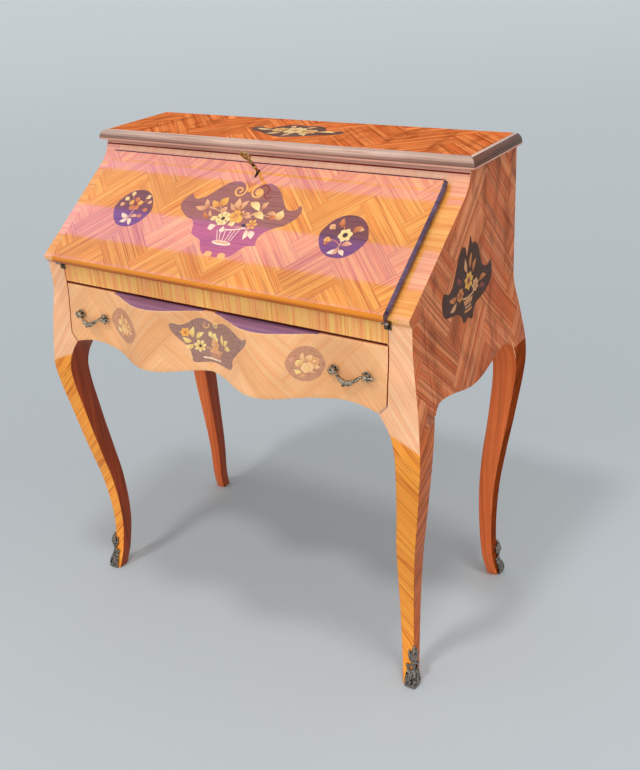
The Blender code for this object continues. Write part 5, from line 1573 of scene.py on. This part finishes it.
def cartouche(look, wood):
    shapes = ground(look["outline"], wood) + bouquet(look["flowers"])
    for x, y, length, angle, leafWood in look["leaves"]:
        shapes += leaf(x, y, length, look["leafWidth"], angle, leafWood)
    return shapes


shapes = cartouche(sideCartouche, "sideGround")
letIn("sideInlayRight", "carcase", shapes, onSide, "crossband", cuts=(60.0, 8.0))
letIn("sideInlayLeft", "carcase", shapes, onOtherSide, "crossband", True, cuts=(60.0, 8.0))
letIn("topInlay", "carcase", cartouche(topCartouche, "topGround"), onTop, "crossband")
print("marquetry let in")


# gilt lines and dots tooled round the leather
hide = [vert.co for vert in nodes["writing_leather"].data.vertices]
hideFace = min(spot.dot(offSlope) for spot in hide)
hideLow, hideHigh = (f(spot.dot(upSlope) for spot in hide) for f in (min, max))
toolingLook = {"insets": ((9.0, 1.6), (13.0, 0.7), (24.0, 0.7)), "half": 280, "dots": 44, "dotHalf": 255,
               "dotInset": 18.5, "dotSize": 1.6}


def onLeather(u, v, lift):
    return Vector((u, 0, 0)) + upSlope * v + offSlope * (hideFace - lift)


def toolLeather():
    look, shapes = toolingLook, []
    for inset, width in look["insets"]:
        reach, low, high = look["half"] - inset, hideLow * 1000 + inset, hideHigh * 1000 - inset
        corners = ((-reach, low), (reach, low), (reach, high), (-reach, high), (-reach, low))
        for ends in zip(corners, corners[1:]):
            shapes += stem(ends, width, "gilt", 0)
    for t in evenly(look["dots"] - 1):
        for v in (hideLow * 1000 + look["dotInset"], hideHigh * 1000 - look["dotInset"]):
            shapes += disc(2 * look["dotHalf"] * t - look["dotHalf"], v, look["dotSize"], "gilt", layer=0)
    letIn("leatherTooling", "fall", shapes, onLeather, "leather", True)


toolLeather()
print("leather tooled")


# floor, soft studio light and camera
stageLook = {
    "floorSize": 120.0, "away": (-0.5766, 0.8170), "near": 0.6, "far": 3.0, "greenish": (-4, 3, 6),
    # the floor's greys dip in the middle distance: painted shade, as where a backdrop bends up from the floor
    "floor": ((0.06, 211), (0.15, 208), (0.23, 203), (0.33, 196), (0.43, 196), (0.52, 198), (0.70, 202),
              (0.83, 212), (0.92, 216)),  # share of the way to the far end, grey
    "sky": (0.97, 0.98, 1.0, 1), "world": 0.57,
    "lamps": (  # direction of the source, strength, width in degrees
        ("leftSun", (-0.09, -0.46, 0.884), 0.58, 7.0), ("rightSun", (0.195, -0.117, 0.974), 0.54, 9.0),
        ("frontSun", (0.05, -0.93, 0.36), 1.40, 80.0)),
    "glintPlace": (0.9, -3.0, 1.9), "glintSource": (0.25, -0.9, 0.35), "glintSize": 0.9, "glintLevel": 5.0,
    "stripHeight": 20.0, "stripMiddle": -33.0, "stripLength": 60.0,
    "strips": ((-2.004, -1.028), (0.113, 14.0), (-60.0, -2.72)),
    "stripColour": (0.12, 0.06, 0.88), "stripLevel": 3.5, "glossed": ("fall", "slopeStile", "sidePanel"),
}


def makeFloor():
    clearHands()
    bpy.ops.mesh.primitive_plane_add(size=stageLook["floorSize"])
    floor = named("floor")
    finish, tree, shader = newFinish("floorPaper", Roughness=0.9, Specular_IOR_Level=0.1)
    x, y, _ = splitUp(tree, objectPlace(tree))
    depth = plus(tree, times(tree, x, stageLook["away"][0]), times(tree, y, stageLook["away"][1]))
    share = sums(tree, "DIVIDE", plus(tree, depth, stageLook["near"]), plus(tree, depth, stageLook["far"]))
    ramp = tree.nodes.new("ShaderNodeValToRGB")
    tree.links.new(share, ramp.inputs[0])
    stops = ramp.color_ramp.elements
    for index, (spot, grey) in enumerate(stageLook["floor"]):
        stop = stops[index] if index < 2 else stops.new(spot)
        stop.position, stop.color = spot, swatch(*(grey + tint for tint in stageLook["greenish"]))
    tree.links.new(ramp.outputs[0], shader.inputs["Base Color"])
    floor.data.materials.append(finish)
    return floor


def addLamp(kind, name, spot=(0, 0, 0), source=None):  # without a source it shines straight down
    turn = Vector(source).to_track_quat("Z", "Y").to_euler() if source else (0, 0, 0)
    bpy.ops.object.light_add(type=kind, location=spot, rotation=turn)
    return named(name)


def makeSky():
    world = bpy.data.worlds.new("studio")
    bpy.context.scene.world = world
    world.use_nodes = True
    sky = world.node_tree.nodes["Background"]
    sky.inputs["Color"].default_value = stageLook["sky"]
    sky.inputs["Strength"].default_value = stageLook["world"]


def makeSuns(floor):
    for name, source, level, size in stageLook["lamps"]:
        sun = addLamp("SUN", name, source=source)
        sun.data.energy, sun.data.angle = level, math.radians(size)
        sun.visible_glossy = False  # a mirror image would burn a line into the fall's hollow
    unfilled = bpy.data.collections.new("unfilledFloor")  # the broad lamp leaves the floor to the other two
    unfilled.objects.link(floor)
    unfilled.collection_objects[0].light_linking.link_state = "EXCLUDE"
    bpy.data.objects["frontSun"].light_linking.receiver_collection = unfilled


def makeGlints():
    look = stageLook
    glint = addLamp("AREA", "glintLamp", look["glintPlace"], look["glintSource"])
    glint.data.size = look["glintSize"]
    glint.data.energy = look["glintLevel"] * math.pi * look["glintSize"] ** 2
    glint.visible_diffuse = glint.visible_camera = False
    # cool strip lamps overhead, seen only as bands of gloss on the fall and its frame
    glossed = bpy.data.collections.new("glossedBoards")
    for piece in bpy.context.scene.objects:
        if piece.name.startswith(look["glossed"]):
            glossed.objects.link(piece)
    for index, (low, high) in enumerate(look["strips"], 1):
        spot = (look["stripMiddle"], (low + high) / 2, look["stripHeight"])
        lamp = addLamp("AREA", "stripLamp%d" % index, spot)
        lamp.data.shape, lamp.data.size, lamp.data.size_y = "RECTANGLE", look["stripLength"], high - low
        lamp.data.color = look["stripColour"]
        lamp.data.energy = look["stripLevel"] * math.pi * look["stripLength"] * (high - low)
        lamp.visible_diffuse = lamp.visible_transmission = False
        lamp.visible_volume_scatter = lamp.visible_camera = False
        lamp.light_linking.receiver_collection = glossed


cameraLook = {"azimuth": 35.2128, "elevation": 26.3404, "roll": -4.2462, "lens": 43.97, "sensor": 36.0,
              "place": (1.06002, -1.36107, 1.31881)}


def makeCamera():
    turn, rise, roll = (math.radians(cameraLook[label]) for label in ("azimuth", "elevation", "roll"))
    back = Vector((math.sin(turn) * math.cos(rise), -math.cos(turn) * math.cos(rise), math.sin(rise)))
    right = Vector((math.cos(turn), math.sin(turn), 0))
    up = back.cross(right)
    tilted = right * math.cos(roll) + up * math.sin(roll), up * math.cos(roll) - right * math.sin(roll), back
    data = bpy.data.cameras.new("photoCamera")
    data.lens, data.sensor_width, data.sensor_fit = cameraLook["lens"], cameraLook["sensor"], "AUTO"
    camera = addObject("photoCamera", data)
    camera.matrix_world = Matrix.Translation(cameraLook["place"]) @ Matrix(tilted).transposed().to_4x4()
    bpy.context.scene.camera = camera


makeSky()
makeSuns(makeFloor())
makeGlints()
makeCamera()
bpy.context.scene.view_settings.view_transform = "Standard"
print("stage set")
